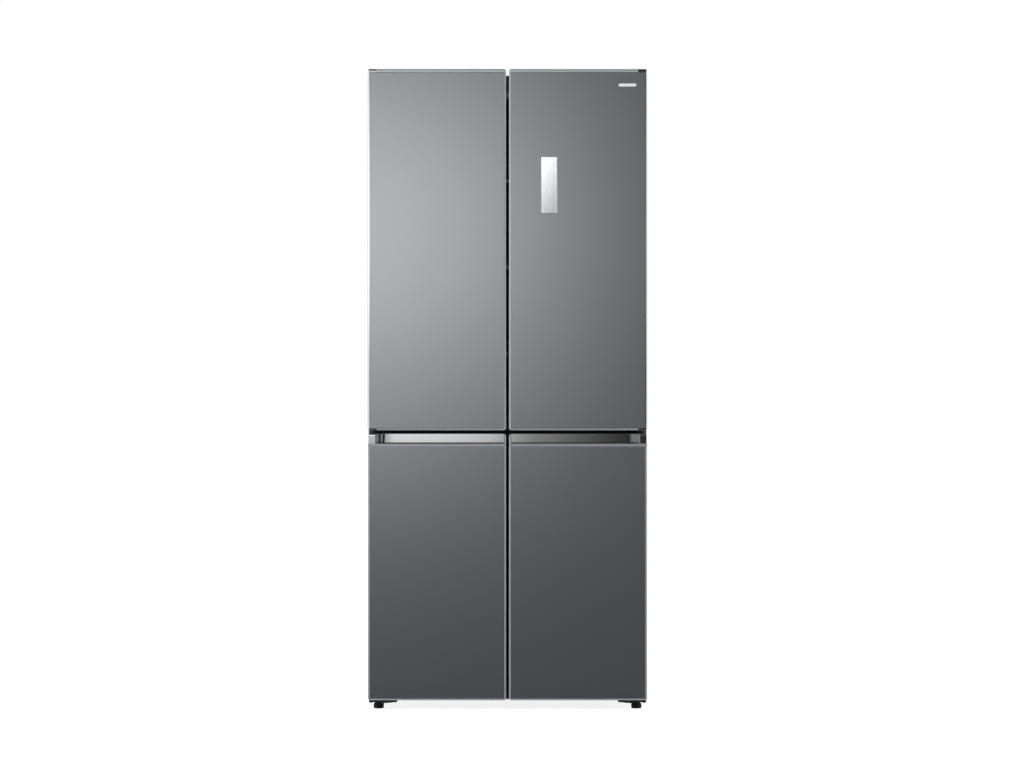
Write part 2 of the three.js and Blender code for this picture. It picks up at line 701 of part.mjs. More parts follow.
// The bright trough that lines the grip recess.
function grip(side) {
  const top = LOWER_DOOR[1] - FIT;
  const outside = plate(recessOutline(side, RECESS_FRONT + FIT, RECESS_BACK, FIT), [POCKET_FLOOR + FIT, top]);
  const less = FIT + GRIP_WALL;
  const pocket = plate(recessOutline(side, RECESS_FRONT + less, RECESS_BACK, less), [
    POCKET_FLOOR + less,
    top + THROUGH,
  ]);
  const mouthZ = [RECESS_FLOOR - 1.5, top + THROUGH];
  const mouth = plate(recessOutline(side, FRONT - THROUGH, RECESS_BACK, less), mouthZ);
  return join(cut(outside, pocket, mouth), gripFace(side));
}

// The leaning face that shows along the back of the grip recess.
function gripFace(side) {
  const { bottom, out } = GRIP_SLOPE;
  const back = RECESS_BACK - FIT - GRIP_WALL + THROUGH;
  const top = LOWER_DOOR[1] - FIT;
  const profile = new THREE.Shape([
    new THREE.Vector2(back, bottom),
    new THREE.Vector2(back, top),
    new THREE.Vector2(back - THROUGH - 1, top),
    new THREE.Vector2(back - out, bottom),
  ]);
  const ends = plate(recessOutline(side, FRONT, RECESS_BACK, FIT), [bottom, top]);
  return alongX(profile, [-WIDTH / 2, WIDTH / 2]).intersect(ends);
}

function doorPanel(side, z) {
  const y = [FRONT + PANEL_INSET, PANEL_BACK];
  return block(span(side, grown(PANEL_X, -FIT)), y, grown(z, -FIT));
}

const displayHole = (less) =>
  block(
    grown([DISPLAY.x, DISPLAY.x], DISPLAY.width / 2 - less),
    less ? [FRONT + PANEL_INSET - 0.2, PANEL_BACK] : grown([FRONT, PANEL_BACK], THROUGH),
    grown([DISPLAY.z, DISPLAY.z], DISPLAY.height / 2 - less),
  );

// Inner door: its foam core, back skin and the raised rim that plugs the cabinet's mouth.
function innerDoor(side, cavity, skinZ, rimZ, rimDepth, binFloors) {
  const rimInside = grown(DYKE_X, -DYKE.wall);
  const rimBack = DOOR_BACK + rimDepth;
  const core = block(
    span(side, grown(DOOR_X, -RAIL - FIT)),
    [PANEL_BACK + FIT, DOOR_BACK],
    grown(cavity, -FIT),
  );
  const skin = block(span(side, grown(DOOR_X, -2)), [FRAME_BACK + FIT, DOOR_BACK], skinZ);
  const rim = cut(
    softAlongY(span(side, DYKE_X), [DOOR_BACK - THROUGH, rimBack], rimZ, LINER_RADIUS),
    softAlongY(span(side, rimInside), [DOOR_BACK, rimBack + THROUGH], grown(rimZ, -DYKE.wall), 6),
  );
  const ledgeY = [DOOR_BACK - THROUGH, rimBack - 4];
  const binLedges = binFloors.flatMap((floor) =>
    rimInside.map((x) =>
      block(span(side, grown([x, x], 9)), ledgeY, [floor - LEDGE_HEIGHT, floor - FIT]),
    ),
  );
  return join(core, skin, rim, ...binLedges);
}

// Magnetic seal: a soft ring between the door's back and the cabinet's front.
function gasket(side, z) {
  const x = [DOOR_GAP / 2 + GASKET.inset - 4, PIN[0] - 1];
  const y = [DOOR_BACK + FIT, CASE_FRONT - FIT];
  const hole = block(span(side, grown(x, -GASKET.width)), grown(y, THROUGH), grown(z, -GASKET.width));
  return cut(block(span(side, x), y, z), hole);
}

// The beam that closes the slit between the upper doors, folded back along the left door's edge.
function mullionBeam() {
  const [x, y] = MULLION.hinge;
  const points = [
    [x - 2.2, y + 6],
    [x + 2, y + 3],
    [x + MULLION.thickness - 2.2, y + 3],
    [x + MULLION.thickness - 2.2, y + 3 + MULLION.length - 3],
    [x + MULLION.thickness - 5.2, y + 3 + MULLION.length],
    [x + 0.8, y + 3 + MULLION.length],
    [x - 2.2, y + MULLION.length],
  ];
  const barrel = bar(MULLION.knuckle, MULLION.hinge, MULLION.z, 16);
  const pin = bar(MULLION.pin, MULLION.hinge, grown(MULLION.z, 7), 12);
  return join(plate(points, MULLION.z), barrel, pin);
}

// Ears on the left door's inner rim that hold the mullion beam's pin.
function mullionEars() {
  const [x, y] = MULLION.hinge;
  const [bottom, top] = MULLION.z;
  return [
    [bottom - 8, bottom - 2],
    [top + 2, top + 8],
  ].map((z) =>
    cut(
      block([-DYKE_X[0] - THROUGH, x + 5], grown([y, y], 6), z),
      bar(MULLION.pin + 0.6, MULLION.hinge, grown(z, THROUGH), 12),
    ),
  );
}

// ---------------------------------------------------------------- bins, crispers and drawers

// An open-topped tub with upright walls and rounded corners.
function tub(x, y, z, wall, frontWall = wall) {
  return cut(
    softUpright(x, y, z, TUB_RADIUS),
    softUpright(
      grown(x, -wall),
      [y[0] + frontWall, y[1] - wall],
      [z[0] + wall, z[1] + THROUGH],
      TUB_RADIUS - wall,
    ),
  );
}

// A bin on the inside of an upper door.
function doorBin(side, { z, height, depth }) {
  const x = span(side, grown(DYKE_X, -DYKE.wall - 1));
  const y = [DOOR_BACK + FIT, DOOR_BACK + FIT + depth];
  return tub(x, y, [z, z + height], BIN_WALL);
}

// Vegetable drawer under the lowest shelf, with a pull lip along its front.
function crisper(side) {
  const x = span(side, [5, FRIDGE_HALF - LEDGE - 2]);
  const { z, y, front, lip, lipInset } = CRISPER;
  const pull = block(grown(x, -lipInset), [y[0] - lip, y[0] + 1], [z[1] - 12, z[1]]);
  return join(tub(x, y, z, BIN_WALL, front), pull);
}

// Freezer drawer: a tub whose rim slides on the liner's ledges, with a taller front.
function drawer(side, { z, back }) {
  const inner = grown(FREEZER_X, -LEDGE - 3);
  const x = span(side, inner);
  const rimX = span(side, grown(inner, DRAWER_RIM));
  const y = [DRAWER_FRONT, back - 4];
  const body = softUpright(x, y, z, TUB_RADIUS);
  const rim = softUpright(rimX, [y[0] + 15, y[1]], [z[1] - 4, z[1]], TUB_RADIUS);
  const front = block(span(side, grown(inner, DRAWER_RIM - 1)), [y[0], y[0] + 8], [z[0], z[1] + 8]);
  const pull = block(grown(x, -60), [y[0] - 8, y[0] + 1], [z[1] - 6, z[1] + 6]);
  const inside = softUpright(
    grown(x, -DRAWER_WALL),
    [y[0] + 8, y[1] - DRAWER_WALL],
    [z[0] + DRAWER_WALL, z[1] + THROUGH],
    TUB_RADIUS - DRAWER_WALL,
  );
  return join(cut(join(body, rim), inside), front, pull);
}

// ---------------------------------------------------------------- assembly

add("outer_case", outerCase(), MATERIALS.case);
add("back_panel", backPanel(), MATERIALS.steel);
add("base_pan", basePan(), MATERIALS.steel);
add("cabinet_foam", cabinetFoam(), MATERIALS.foam);
add("fridge_liner", fridgeLiner(), MATERIALS.white);
add("freezer_liner", freezerLiner(), MATERIALS.white);
add("divider_rail", dividerRail(), MATERIALS.steel);
add("air_duct", airDuct(), MATERIALS.white);
add("shelf_upper", shelf(SHELF_HEIGHTS.upper), MATERIALS.clear);
add("shelf_middle", shelf(SHELF_HEIGHTS.middle), MATERIALS.clear);
add("crisper_cover", shelf(CRISPER_COVER_Z), MATERIALS.clear);
add("mullion_guide", mullionGuide(), MATERIALS.white);
add("compressor", compressor(), MATERIALS.black);
add("machine_cover", machineCover(), MATERIALS.cover);

for (const [name, side] of SIDES) {
  add(`top_hinge_${name}`, topHinge(side), MATERIALS.steel);
  add(`hinge_cover_${name}`, hingeCover(side), MATERIALS.cover);
  add(`mid_hinge_${name}`, midHinge(side), MATERIALS.black);
  add(`bottom_hinge_${name}`, bottomHinge(side), MATERIALS.black);
  add(`foot_${name}`, foot(side), MATERIALS.black);
  add(`roller_${name}`, roller(side), MATERIALS.black);

  const upperPanel = doorPanel(side, UPPER_PANEL);
  const upperRim = grown(FRIDGE_SPACE.z, -7);
  add(`upper_${name}_frame`, upperFrame(side), MATERIALS.frame);
  add(`upper_${name}_panel`, side > 0 ? cut(upperPanel, displayHole(0)) : upperPanel, MATERIALS.panel);
  const upperSkin = [UPPER_DOOR[0] + 2, UPPER_DOOR[1] - POCKET_DEPTH - 1];
  const binFloors = Object.values(BINS).map((bin) => bin.z);
  const upperInner = innerDoor(side, UPPER_CAVITY, upperSkin, upperRim, DYKE.upperDepth, binFloors);
  add(`upper_${name}_liner`, side < 0 ? join(upperInner, ...mullionEars()) : upperInner, MATERIALS.white);
  add(`upper_${name}_gasket`, gasket(side, [UPPER_DOOR[0] + GASKET.inset, CASE_TOP - 6]), MATERIALS.seal);

  const lowerRim = grown(FREEZER_SPACE.z, -7);
  add(`lower_${name}_frame`, lowerFrame(side), MATERIALS.frame);
  add(`lower_${name}_panel`, doorPanel(side, LOWER_PANEL), MATERIALS.panel);
  add(`lower_${name}_grip`, grip(side), MATERIALS.chrome);
  const lowerInner = innerDoor(side, LOWER_CAVITY, grown(LOWER_DOOR, -2), lowerRim, DYKE.lowerDepth, []);
  add(`lower_${name}_liner`, lowerInner, MATERIALS.white);
  add(`lower_${name}_gasket`, gasket(side, grown(LOWER_DOOR, -GASKET.inset)), MATERIALS.seal);

  for (const [level, bin] of Object.entries(BINS)) {
    add(`bin_${level}_${name}`, doorBin(side, bin), MATERIALS.clear);
  }
  add(`crisper_${name}`, crisper(side), MATERIALS.clear);
  for (const [level, size] of Object.entries(DRAWERS)) {
    add(`drawer_${level}_${name}`, drawer(side, size), MATERIALS.clear);
  }
}
add("display_window", displayHole(FIT), MATERIALS.display);
add("mullion_beam", mullionBeam(), MATERIALS.cover);

export default part;
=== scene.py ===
"""Looks for the french door refrigerator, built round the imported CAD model. Metres, front towards -Y."""

import json
import math

import bmesh
import bpy
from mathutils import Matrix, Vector

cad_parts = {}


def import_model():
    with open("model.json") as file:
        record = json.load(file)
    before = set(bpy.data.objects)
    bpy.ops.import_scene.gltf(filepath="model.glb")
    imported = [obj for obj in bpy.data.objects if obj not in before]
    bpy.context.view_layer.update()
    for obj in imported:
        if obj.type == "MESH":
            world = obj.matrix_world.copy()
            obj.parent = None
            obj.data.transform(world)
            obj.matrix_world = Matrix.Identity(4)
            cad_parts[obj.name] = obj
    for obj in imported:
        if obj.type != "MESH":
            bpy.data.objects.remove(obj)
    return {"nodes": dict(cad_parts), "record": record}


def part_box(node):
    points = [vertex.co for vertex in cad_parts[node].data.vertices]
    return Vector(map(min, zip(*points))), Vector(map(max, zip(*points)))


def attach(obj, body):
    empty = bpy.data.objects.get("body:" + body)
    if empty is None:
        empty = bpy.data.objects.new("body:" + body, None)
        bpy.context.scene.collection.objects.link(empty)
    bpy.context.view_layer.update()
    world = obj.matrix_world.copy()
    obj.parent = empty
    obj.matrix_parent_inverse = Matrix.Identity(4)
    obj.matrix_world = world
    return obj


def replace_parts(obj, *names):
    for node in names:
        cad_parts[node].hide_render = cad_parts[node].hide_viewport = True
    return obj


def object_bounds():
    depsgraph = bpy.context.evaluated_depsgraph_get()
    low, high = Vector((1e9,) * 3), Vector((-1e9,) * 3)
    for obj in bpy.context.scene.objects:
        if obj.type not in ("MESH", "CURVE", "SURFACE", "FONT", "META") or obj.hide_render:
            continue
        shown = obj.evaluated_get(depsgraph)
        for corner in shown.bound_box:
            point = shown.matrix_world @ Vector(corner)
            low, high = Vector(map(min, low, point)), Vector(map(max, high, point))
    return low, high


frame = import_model()
cad_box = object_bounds()
nodes = frame["nodes"]
SIDES = (("left", -1), ("right", 1))

# Doors
RECESS_FLOOR = 0.7537  # top of the lip below the grip recess
LIP_HEIGHT = 0.0065
RECESS_END = 0.021  # from a door's outer edge to the front of the recess's slanting end
END_SLOPE = 20 / 36  # how far that end comes in for each metre of depth
CAP_WIDTH, CAP_HEIGHT = 0.0045, 0.0262  # dark cap on the left top corner
BRIGHT_END_DEPTH = 0.008  # how far back the bright ends of the grip recess reach
MASK_EDGE = 0.0002  # half the width over which one finish turns into the next

# Tubs: bins, crispers and drawers
TUB_RADIUS = 0.012
TUB_WALL = 0.003
HANDLE_DEPTH = 0.008  # how far the handle of a crisper or drawer stands out

COMPRESSOR_AT = (-0.150, 0.232)  # middle of the compressor's shell, in x and y

# ------------------------------------------------------------------ material nodes


class Look:
    """A Principled material whose inputs are driven by procedural nodes in object coordinates."""

    def __init__(self, name, **sockets):
        self.material = bpy.data.materials.new(name)
        self.material.use_nodes = True
        self.tree = self.material.node_tree
        self.shader = self.tree.nodes["Principled BSDF"]
        for key, value in sockets.items():
            self.shader.inputs[key.replace("_", " ").title().replace("Ior", "IOR")].default_value = value

    def node(self, kind, inputs=(), **settings):
        made = self.tree.nodes.new(kind)
        for key, value in settings.items():
            setattr(made, key, value)
        for key, value in dict(inputs).items():
            if isinstance(value, bpy.types.NodeSocket):
                self.tree.links.new(value, made.inputs[key])
            else:
                made.inputs[key].default_value = value
        return made

    def place(self, stretch=(1, 1, 1)):
        coords = self.node("ShaderNodeTexCoord").outputs["Object"]
        return self.node("ShaderNodeMapping", {"Vector": coords, "Scale": stretch}).outputs["Vector"]

    def noise(self, scale, stretch=(1, 1, 1), detail=3.0, rough=0.55):
        inputs = {"Vector": self.place(stretch), "Scale": scale, "Detail": detail, "Roughness": rough}
        return self.node("ShaderNodeTexNoise", inputs).outputs["Fac"]

    def cells(self, scale, stretch=(1, 1, 1), feature="F1", output="Color"):
        inputs = {"Vector": self.place(stretch), "Scale": scale}
        return self.node("ShaderNodeTexVoronoi", inputs, feature=feature).outputs[output]

    def ranged(self, value, low, high, start=0.3, end=0.7):
        inputs = {"Value": value, "From Min": start, "From Max": end, "To Min": low, "To Max": high}
        return self.node("ShaderNodeMapRange", inputs).outputs["Result"]

    def math(self, operation, a, b):
        return self.node("ShaderNodeMath", {0: a, 1: b}, operation=operation).outputs[0]

    def mix(self, factor, a, b):
        made = self.node("ShaderNodeMix", data_type="RGBA")
        for index, value in ((0, factor), (6, a), (7, b)):
            if isinstance(value, bpy.types.NodeSocket):
                self.tree.links.new(value, made.inputs[index])
            else:
                made.inputs[index].default_value = value if index == 0 else (*value, 1)
        return made.outputs[2]

    def axis(self, index):
        coords = self.node("ShaderNodeTexCoord").outputs["Object"]
        return self.node("ShaderNodeSeparateXYZ", {0: coords}).outputs[index]

    def drive(self, socket, value):
        self.tree.links.new(value, self.shader.inputs[socket])
        return self

    def bump(self, height, strength, distance=0.001):
        inputs = {"Height": height, "Strength": strength, "Distance": distance}
        return self.drive("Normal", self.node("ShaderNodeBump", inputs).outputs["Normal"])


def speckled(name, dark, light, rough, scale=60, grain=900, bumps=0.15, depth=0.0005, **sockets):
    """Moulded or painted surface: cloudy colour, uneven gloss and a fine pebbled grain."""
    look = Look(name, **sockets)
    cloud = look.ranged(look.noise(scale, detail=5), 0, 1)
    look.drive("Base Color", look.mix(cloud, dark, light))
    look.drive("Roughness", look.ranged(look.noise(scale * 2.3), *rough))
    return look.bump(look.noise(grain, detail=2), bumps, depth).material


def brushed(name, dark, light, rough, along=(2, 2, 900), bumps=0.04, metallic=1.0):
    """Metal with fine brushing: long in the directions of small stretch, tight in the other."""
    look = Look(name, metallic=metallic)
    line = look.noise(1.6, along, detail=4, rough=0.7)
    cloud = look.noise(5, detail=3)
    both = look.math("MULTIPLY", look.ranged(line, 0.7, 1, 0.25, 0.75), look.ranged(cloud, 0.9, 1))
    look.drive("Base Color", look.mix(both, dark, light))
    look.drive("Roughness", look.ranged(line, *rough, 0.2, 0.8))
    return look.bump(line, bumps, 0.0004).material


def glassy(name, tint, rough, smears=30, clear=1.0, **sockets):
    """Clear moulding or plate glass with faint smears in its gloss."""
    look = Look(name, transmission_weight=clear, **sockets)
    smear = look.noise(smears, detail=6, rough=0.7)
    look.drive("Base Color", look.mix(look.ranged(smear, 0, 1), tint, tuple(min(1, c * 1.04) for c in tint)))
    look.drive("Roughness", look.ranged(smear, *rough))
    return look.bump(look.noise(12, detail=1), 0.02, 0.001).material


ALONG_X = (2, 700, 700)  # brushing that runs left to right
door_skin = brushed(
    "door_brushed_dark",
    (0.415, 0.437, 0.458),
    (0.50, 0.523, 0.547),
    (0.38, 0.47),
    (3, 3, 1100),
    metallic=0.95,
)
grip_metal = brushed("grip_bright", (0.82, 0.83, 0.84), (0.91, 0.92, 0.93), (0.035, 0.07), ALONG_X, 0.006)
# Painted shade: a darker copy of the bright grip metal, for the shaded ends of the grip recess.
grip_end_painted_shade = brushed(
    "grip_end_satin_painted_shade", (0.21, 0.215, 0.22), (0.25, 0.257, 0.264), (0.14, 0.22), ALONG_X, 0.015
)
case_paint = speckled(
    "case_paint", (0.074, 0.079, 0.084), (0.082, 0.087, 0.093), (0.42, 0.46), 90, 700, 0.30
)
rail_paint = speckled("rail_paint", (0.010, 0.011, 0.012), (0.015, 0.016, 0.017), (0.5, 0.6), 10, 500, 0.2)
black_paint = speckled("black_paint", (0.008, 0.008, 0.009), (0.014, 0.014, 0.015), (0.35, 0.5), 40, 700, 0.2)
liner_white = speckled("liner_white", (0.82, 0.835, 0.84), (0.86, 0.87, 0.875), (0.30, 0.36), 40, 500, 0.05)
seal_grey = speckled("seal_grey", (0.17, 0.175, 0.18), (0.22, 0.225, 0.23), (0.55, 0.7), 30, 600, 0.25)
dark_plastic = speckled(
    "dark_plastic", (0.030, 0.031, 0.033), (0.045, 0.046, 0.048), (0.45, 0.6), 20, 900, 0.4
)
black_plastic = speckled(
    "black_plastic", (0.006, 0.006, 0.007), (0.012, 0.012, 0.012), (0.42, 0.6), 50, 1200, 0.35
)
mullion_grey = speckled("mullion_grey", (0.26, 0.27, 0.28), (0.32, 0.33, 0.34), (0.4, 0.5), 15, 800, 0.2)
trim_white = speckled("trim_white", (0.70, 0.72, 0.73), (0.78, 0.79, 0.80), (0.3, 0.4), 14, 500, 0.1)
clear_plastic = glassy("clear_plastic", (0.93, 0.955, 0.97), (0.08, 0.15), clear=0.80, ior=1.38)
frosted_plastic = glassy("frosted_plastic", (0.88, 0.92, 0.94), (0.28, 0.38), 60, clear=0.45, ior=1.38)
shelf_glass = glassy("shelf_glass", (0.86, 0.94, 0.91), (0.0, 0.04), 12, ior=1.5)
satin_metal = brushed("satin_trim", (0.60, 0.61, 0.62), (0.70, 0.71, 0.72), (0.24, 0.34), (2, 900, 900), 0.03)
copper = brushed("copper_tube", (0.62, 0.30, 0.17), (0.78, 0.42, 0.27), (0.28, 0.42), (60, 60, 60), 0.05)
screw_steel = brushed(
    "screw_steel", (0.52, 0.53, 0.54), (0.66, 0.67, 0.68), (0.25, 0.4), (400, 400, 400), 0.05
)


def door_edge():
    """Satin door edging, with a dark cap on the left top corner, bright ends to the grip recess and painted
    shade on the lip below the recess.
    """
    look = Look("door_edge")
    line = look.noise(1.6, (300, 300, 4), detail=4, rough=0.7)
    distance = look.node("ShaderNodeMath", {0: look.axis(0)}, operation="ABSOLUTE").outputs[0]
    height = look.axis(2)

    def above(value, at):
        return look.ranged(value, 0, 1, at - MASK_EDGE, at + MASK_EDGE)

    def below(value, at):
        return look.math("SUBTRACT", 1.0, above(value, at))

    grip_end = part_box("lower_right_grip")[1].x
    door_low, door_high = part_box("lower_right_frame")
    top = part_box("upper_right_frame")[1].z
    left = look.math("MULTIPLY", look.axis(0), -1.0)
    cap = look.math("MULTIPLY", above(left, door_high.x - CAP_WIDTH), above(height, top - CAP_HEIGHT))
    ends = look.math("MULTIPLY", above(distance, grip_end + 0.0004), above(height, RECESS_FLOOR))
    ends = look.math("MULTIPLY", ends, below(look.axis(1), door_low.y + BRIGHT_END_DEPTH))
    satin = look.mix(look.ranged(line, 0, 1), (0.42, 0.435, 0.45), (0.47, 0.485, 0.50))
    # Painted shade: the lip below the grip recess is darkened halfway towards dark grey.
    lip_bottom = above(height, RECESS_FLOOR - LIP_HEIGHT)
    lip = look.math("MULTIPLY", lip_bottom, below(height, RECESS_FLOOR + 0.0005))
    shaded = look.mix(look.math("MULTIPLY", lip, 0.5), satin, (0.20, 0.207, 0.214))
    capped = look.mix(cap, shaded, (0.075, 0.080, 0.085))
    look.drive("Base Color", look.mix(ends, capped, (0.88, 0.89, 0.90)))
    shine = look.math("SUBTRACT", 0.60, look.math("MULTIPLY", cap, 0.60))
    look.drive("Metallic", look.math("MAXIMUM", shine, ends))
    rough = look.ranged(line, 0.34, 0.44)
    look.drive("Roughness", look.math("SUBTRACT", rough, look.math("MULTIPLY", ends, 0.22)))
    return look.bump(line, 0.03, 0.0003).material


def foam_faces():
    """Rigid foam, behind a dark sheet where it faces the machine room."""
    look = Look("foam")
    sheet_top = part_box("machine_cover")[1].z + 0.0045
    cloud = look.ranged(look.noise(35, detail=5), 0, 1)
    covered = look.ranged(look.axis(2), 1, 0, sheet_top - 0.0005, sheet_top + 0.0005)
    foam = look.mix(cloud, (0.62, 0.53, 0.30), (0.75, 0.67, 0.42))
    look.drive("Base Color", look.mix(covered, foam, (0.03, 0.031, 0.032)))
    look.drive("Roughness", look.ranged(look.noise(80), 0.80, 0.92))
    return look.bump(look.noise(300), 0.6, 0.001).material


def galvanised():
    """Zinc-coated sheet with its spangle."""
    look = Look("galvanised", metallic=0.85)
    cell = look.node("ShaderNodeSeparateColor", {0: look.cells(150)}).outputs[0]
    look.drive("Base Color", look.mix(cell, (0.47, 0.485, 0.495), (0.54, 0.555, 0.565)))
    look.drive("Roughness", look.ranged(cell, 0.42, 0.50, 0, 1))
    return look.bump(look.noise(160), 0.06, 0.0006).material


def display_glass_painted_light():
    """Pale glass with painted light and shade: white at the top, greyer and finely mottled lower down, and
    darker to the right.
    """
    low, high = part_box("display_window")
    look = Look("display_glass_painted_light", coat_weight=1.0, coat_roughness=0.03)
    # Painted light and shade: lighter at the top and the left, darker lower down and to the right.
    fall = look.ranged(look.axis(2), 1.0, 0.0, low.z, high.z)
    across = look.ranged(look.axis(0), 0.0, 0.45, low.x, high.x)
    mottle = look.ranged(look.noise(90, detail=6, rough=0.7), -0.14, 0.14)
    factor = look.ranged(look.math("ADD", look.math("ADD", fall, across), mottle), 0, 1, 0, 1.3)
    look.drive("Base Color", look.mix(factor, (0.80, 0.805, 0.81), (0.30, 0.31, 0.32)))
    look.drive("Roughness", look.ranged(look.noise(40), 0.25, 0.35))
    return look.material


frame_metal = door_edge()
foam_look = foam_faces()
badge_metal = brushed(
    "badge_satin", (0.60, 0.61, 0.62), (0.68, 0.69, 0.70), (0.35, 0.45), (900, 900, 4), 0.02, metallic=0.3
)
galvanised_sheet = galvanised()
display_look = display_glass_painted_light()
BY_SLOT = {
    "door_skin": door_skin,
    "door_frame": frame_metal,
    "grip_metal": grip_metal,
    "case_steel": case_paint,
    "plain_steel": galvanised_sheet,
    "black_steel": black_paint,
    "foam": foam_look,
    "liner_plastic": liner_white,
    "clear_plastic": clear_plastic,
    "shelf_glass": shelf_glass,
    "seal": seal_grey,
    "display": display_look,
    "dark_plastic": dark_plastic,
    "black_plastic": black_plastic,
    "mullion": mullion_grey,
}

# ------------------------------------------------------------------ carried-over CAD nodes


def soften(obj, width, segments=2, angle=32):
    """Rounds a CAD node's edges with modifiers, which leave its mesh as it is."""
    weld = obj.modifiers.new("weld", "WELD")
    weld.merge_threshold = 1e-5
    bevel = obj.modifiers.new("bevel", "BEVEL")
    bevel.width = width
    bevel.segments = segments
    bevel.limit_method = "ANGLE"
    bevel.angle_limit = math.radians(angle)
    bevel.use_clamp_overlap = True
    bevel.harden_normals = False
    normals = obj.modifiers.new("normals", "WEIGHTED_NORMAL")
    normals.keep_sharp = True


SOFTEN = {  # edge radius by the start or end of a node's name
    "frame": 0.0012,
    "panel": 0.0006,
    "grip": 0.0008,
    "liner": 0.002,
    "base_pan": 0.0006,
    "divider_rail": 0.0008,
    "air_duct": 0.003,
    "shelf": 0.0012,
    "crisper_cover": 0.0012,
    "mullion_guide": 0.002,
    "compressor": 0.002,
    "machine_cover": 0.0006,
    "top_hinge": 0.0006,
    "hinge_cover": 0.003,
    "mid_hinge": 0.0006,
    "bottom_hinge": 0.0006,
    "bin": 0.0009,
    "crisper": 0.0012,
    "drawer": 0.0012,
    "mullion_beam": 0.001,
    "display_window": 0.0004,
}
for entry in frame["record"]["subparts"]:
    name = entry["node"]
    node = nodes[name]
    node.data.materials.clear()
    node.data.materials.append(BY_SLOT[entry["material_slot"]])
    for key, width in SOFTEN.items():
        if name.startswith(key) or name.endswith("_" + key):
            soften(node, width)
            break
nodes["divider_rail"].data.materials[0] = rail_paint
nodes["base_pan"].data.materials[0] = black_paint

# ------------------------------------------------------------------ mesh helpers

PLANES = {
    "XY": lambda u, v, w: (u, v, w),
    "XZ": lambda u, v, w: (u, w, v),
    "YZ": lambda u, v, w: (w, u, v),
}


def rounded(u, v, radius, steps=5):
    """A rectangle's outline with rounded corners, as a list of (u, v)."""
    points = []
    for cu, cv, turn in ((u[1], v[0], 3), (u[1], v[1], 0), (u[0], v[1], 1), (u[0], v[0], 2)):
        mu = cu - radius if cu == u[1] else cu + radius
        mv = cv - radius if cv == v[1] else cv + radius
        for i in range(steps + 1):
            angle = (turn + i / steps) * math.pi / 2
            points.append((mu + radius * math.cos(angle), mv + radius * math.sin(angle)))
    return points


def circle(u, v, radius, steps=32, shape=None):
    points = []
    for i in range(steps):
        angle = 2 * math.pi * i / steps
        r = radius * (shape(angle, i) if shape else 1)
        points.append((u + r * math.cos(angle), v + r * math.sin(angle)))
    return points


def skin(bm, plane, sections, loop=False, caps=True):
    """Skins a run of outlines with equal point counts: sections are (outline, w)."""
    at = PLANES[plane]
    rings = [[bm.verts.new(at(u, v, w)) for u, v in outline] for outline, w in sections]
    pairs = list(zip(rings, rings[1:])) + ([(rings[-1], rings[0])] if loop else [])
    for a, b in pairs:
        for i in range(len(a)):
            j = (i + 1) % len(a)
            bm.faces.new((a[i], a[j], b[j], b[i]))
    if caps and not loop:
        bm.faces.new(list(reversed(rings[0])))
        bm.faces.new(rings[-1])


def piece(name, material, body, build, angle=35):
    """Makes a named object from build(bm), and rides it on a CAD body."""
    bm = bmesh.new()
    build(bm)
    bmesh.ops.recalc_face_normals(bm, faces=bm.faces)
    for edge in bm.edges:
        edge.smooth = edge.calc_face_angle(0) < math.radians(angle)
    for face in bm.faces:
        face.smooth = True
    mesh = bpy.data.meshes.new(name)
    bm.to_mesh(mesh)
    bm.free()
    mesh.materials.append(material)
    obj = bpy.data.objects.new(name, mesh)
    bpy.context.scene.collection.objects.link(obj)
    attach(obj, body)
    return obj


def grown(pair, more):
    return (pair[0] - more, pair[1] + more)


def box_spans(node):
    low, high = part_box(node)
    return (low.x, high.x), (low.y, high.y), (low.z, high.z)


# ------------------------------------------------------------------ feet and rollers


def foot(name):
    """Levelling foot: ribbed cap, soft pad and threaded stem."""
    x, y, z = box_spans(name)
    cx, cy = sum(x) / 2, sum(y) / 2
    r = (x[1] - x[0]) / 2

    def ribs(angle, i):
        return 1.0 if i % 4 < 2 else 0.955

    def build(bm):
        n = 96
        sections = [
            (circle(cx, cy, r * 0.2, n), 0.0),
            (circle(cx, cy, r * 0.80, n), 0.0),
            (circle(cx, cy, r * 0.90, n), 0.0007),
            (circle(cx, cy, r * 0.97, n), 0.0028),
            (circle(cx, cy, r * 0.985, n, ribs), 0.0040),
            (circle(cx, cy, r * 0.998, n, ribs), 0.0118),
            (circle(cx, cy, r * 0.93, n), 0.0138),
            (circle(cx, cy, r * 0.80, n), 0.0150),
            (circle(cx, cy, 0.0082, n), 0.0158),
            (circle(cx, cy, 0.0080, n), 0.0222),
            (circle(cx, cy, 0.0040, n), 0.0226),
        ]
        level = 0.0230
        while level < z[1] - 0.003:
            sections.append((circle(cx, cy, 0.0039, n), level))
            sections.append((circle(cx, cy, 0.0033, n), level + 0.0006))
            level += 0.00125
        sections.append((circle(cx, cy, 0.0030, n), z[1]))
        skin(bm, "XY", sections)

    return piece(f"{name}_detail", black_plastic, name, build, 28)


def roller(name):
    """Rear roller: crowned tread, recessed web with a hub round the bore."""
    x, y, z = box_spans(name)
    cy, cz = sum(y) / 2, sum(z) / 2
    r, bore, mid = (z[1] - z[0]) / 2, 0.0042, sum(x) / 2
    half = (x[1] - x[0]) / 2

    def build(bm):
        profile = [
            (bore, -half), (0.0085, -half), (0.0088, -half + 0.0035), (r - 0.0055, -half + 0.0035),
            (r - 0.0048, -half), (r - 0.0016, -half), (r - 0.0003, -half + 0.0016), (r, -half * 0.3),
            (r, half * 0.3), (r - 0.0003, half - 0.0016), (r - 0.0016, half), (r - 0.0048, half),
            (r - 0.0055, half - 0.0035), (0.0088, half - 0.0035), (0.0085, half), (bore, half),
        ]
        skin(bm, "YZ", [(circle(cy, cz, radius, 48), mid + w) for radius, w in profile], loop=True)

    return piece(f"{name}_detail", black_plastic, name, build)


for side_name, _ in SIDES:
    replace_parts(foot(f"foot_{side_name}"), f"foot_{side_name}")
    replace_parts(roller(f"roller_{side_name}"), f"roller_{side_name}")

# ------------------------------------------------------------------ door seals


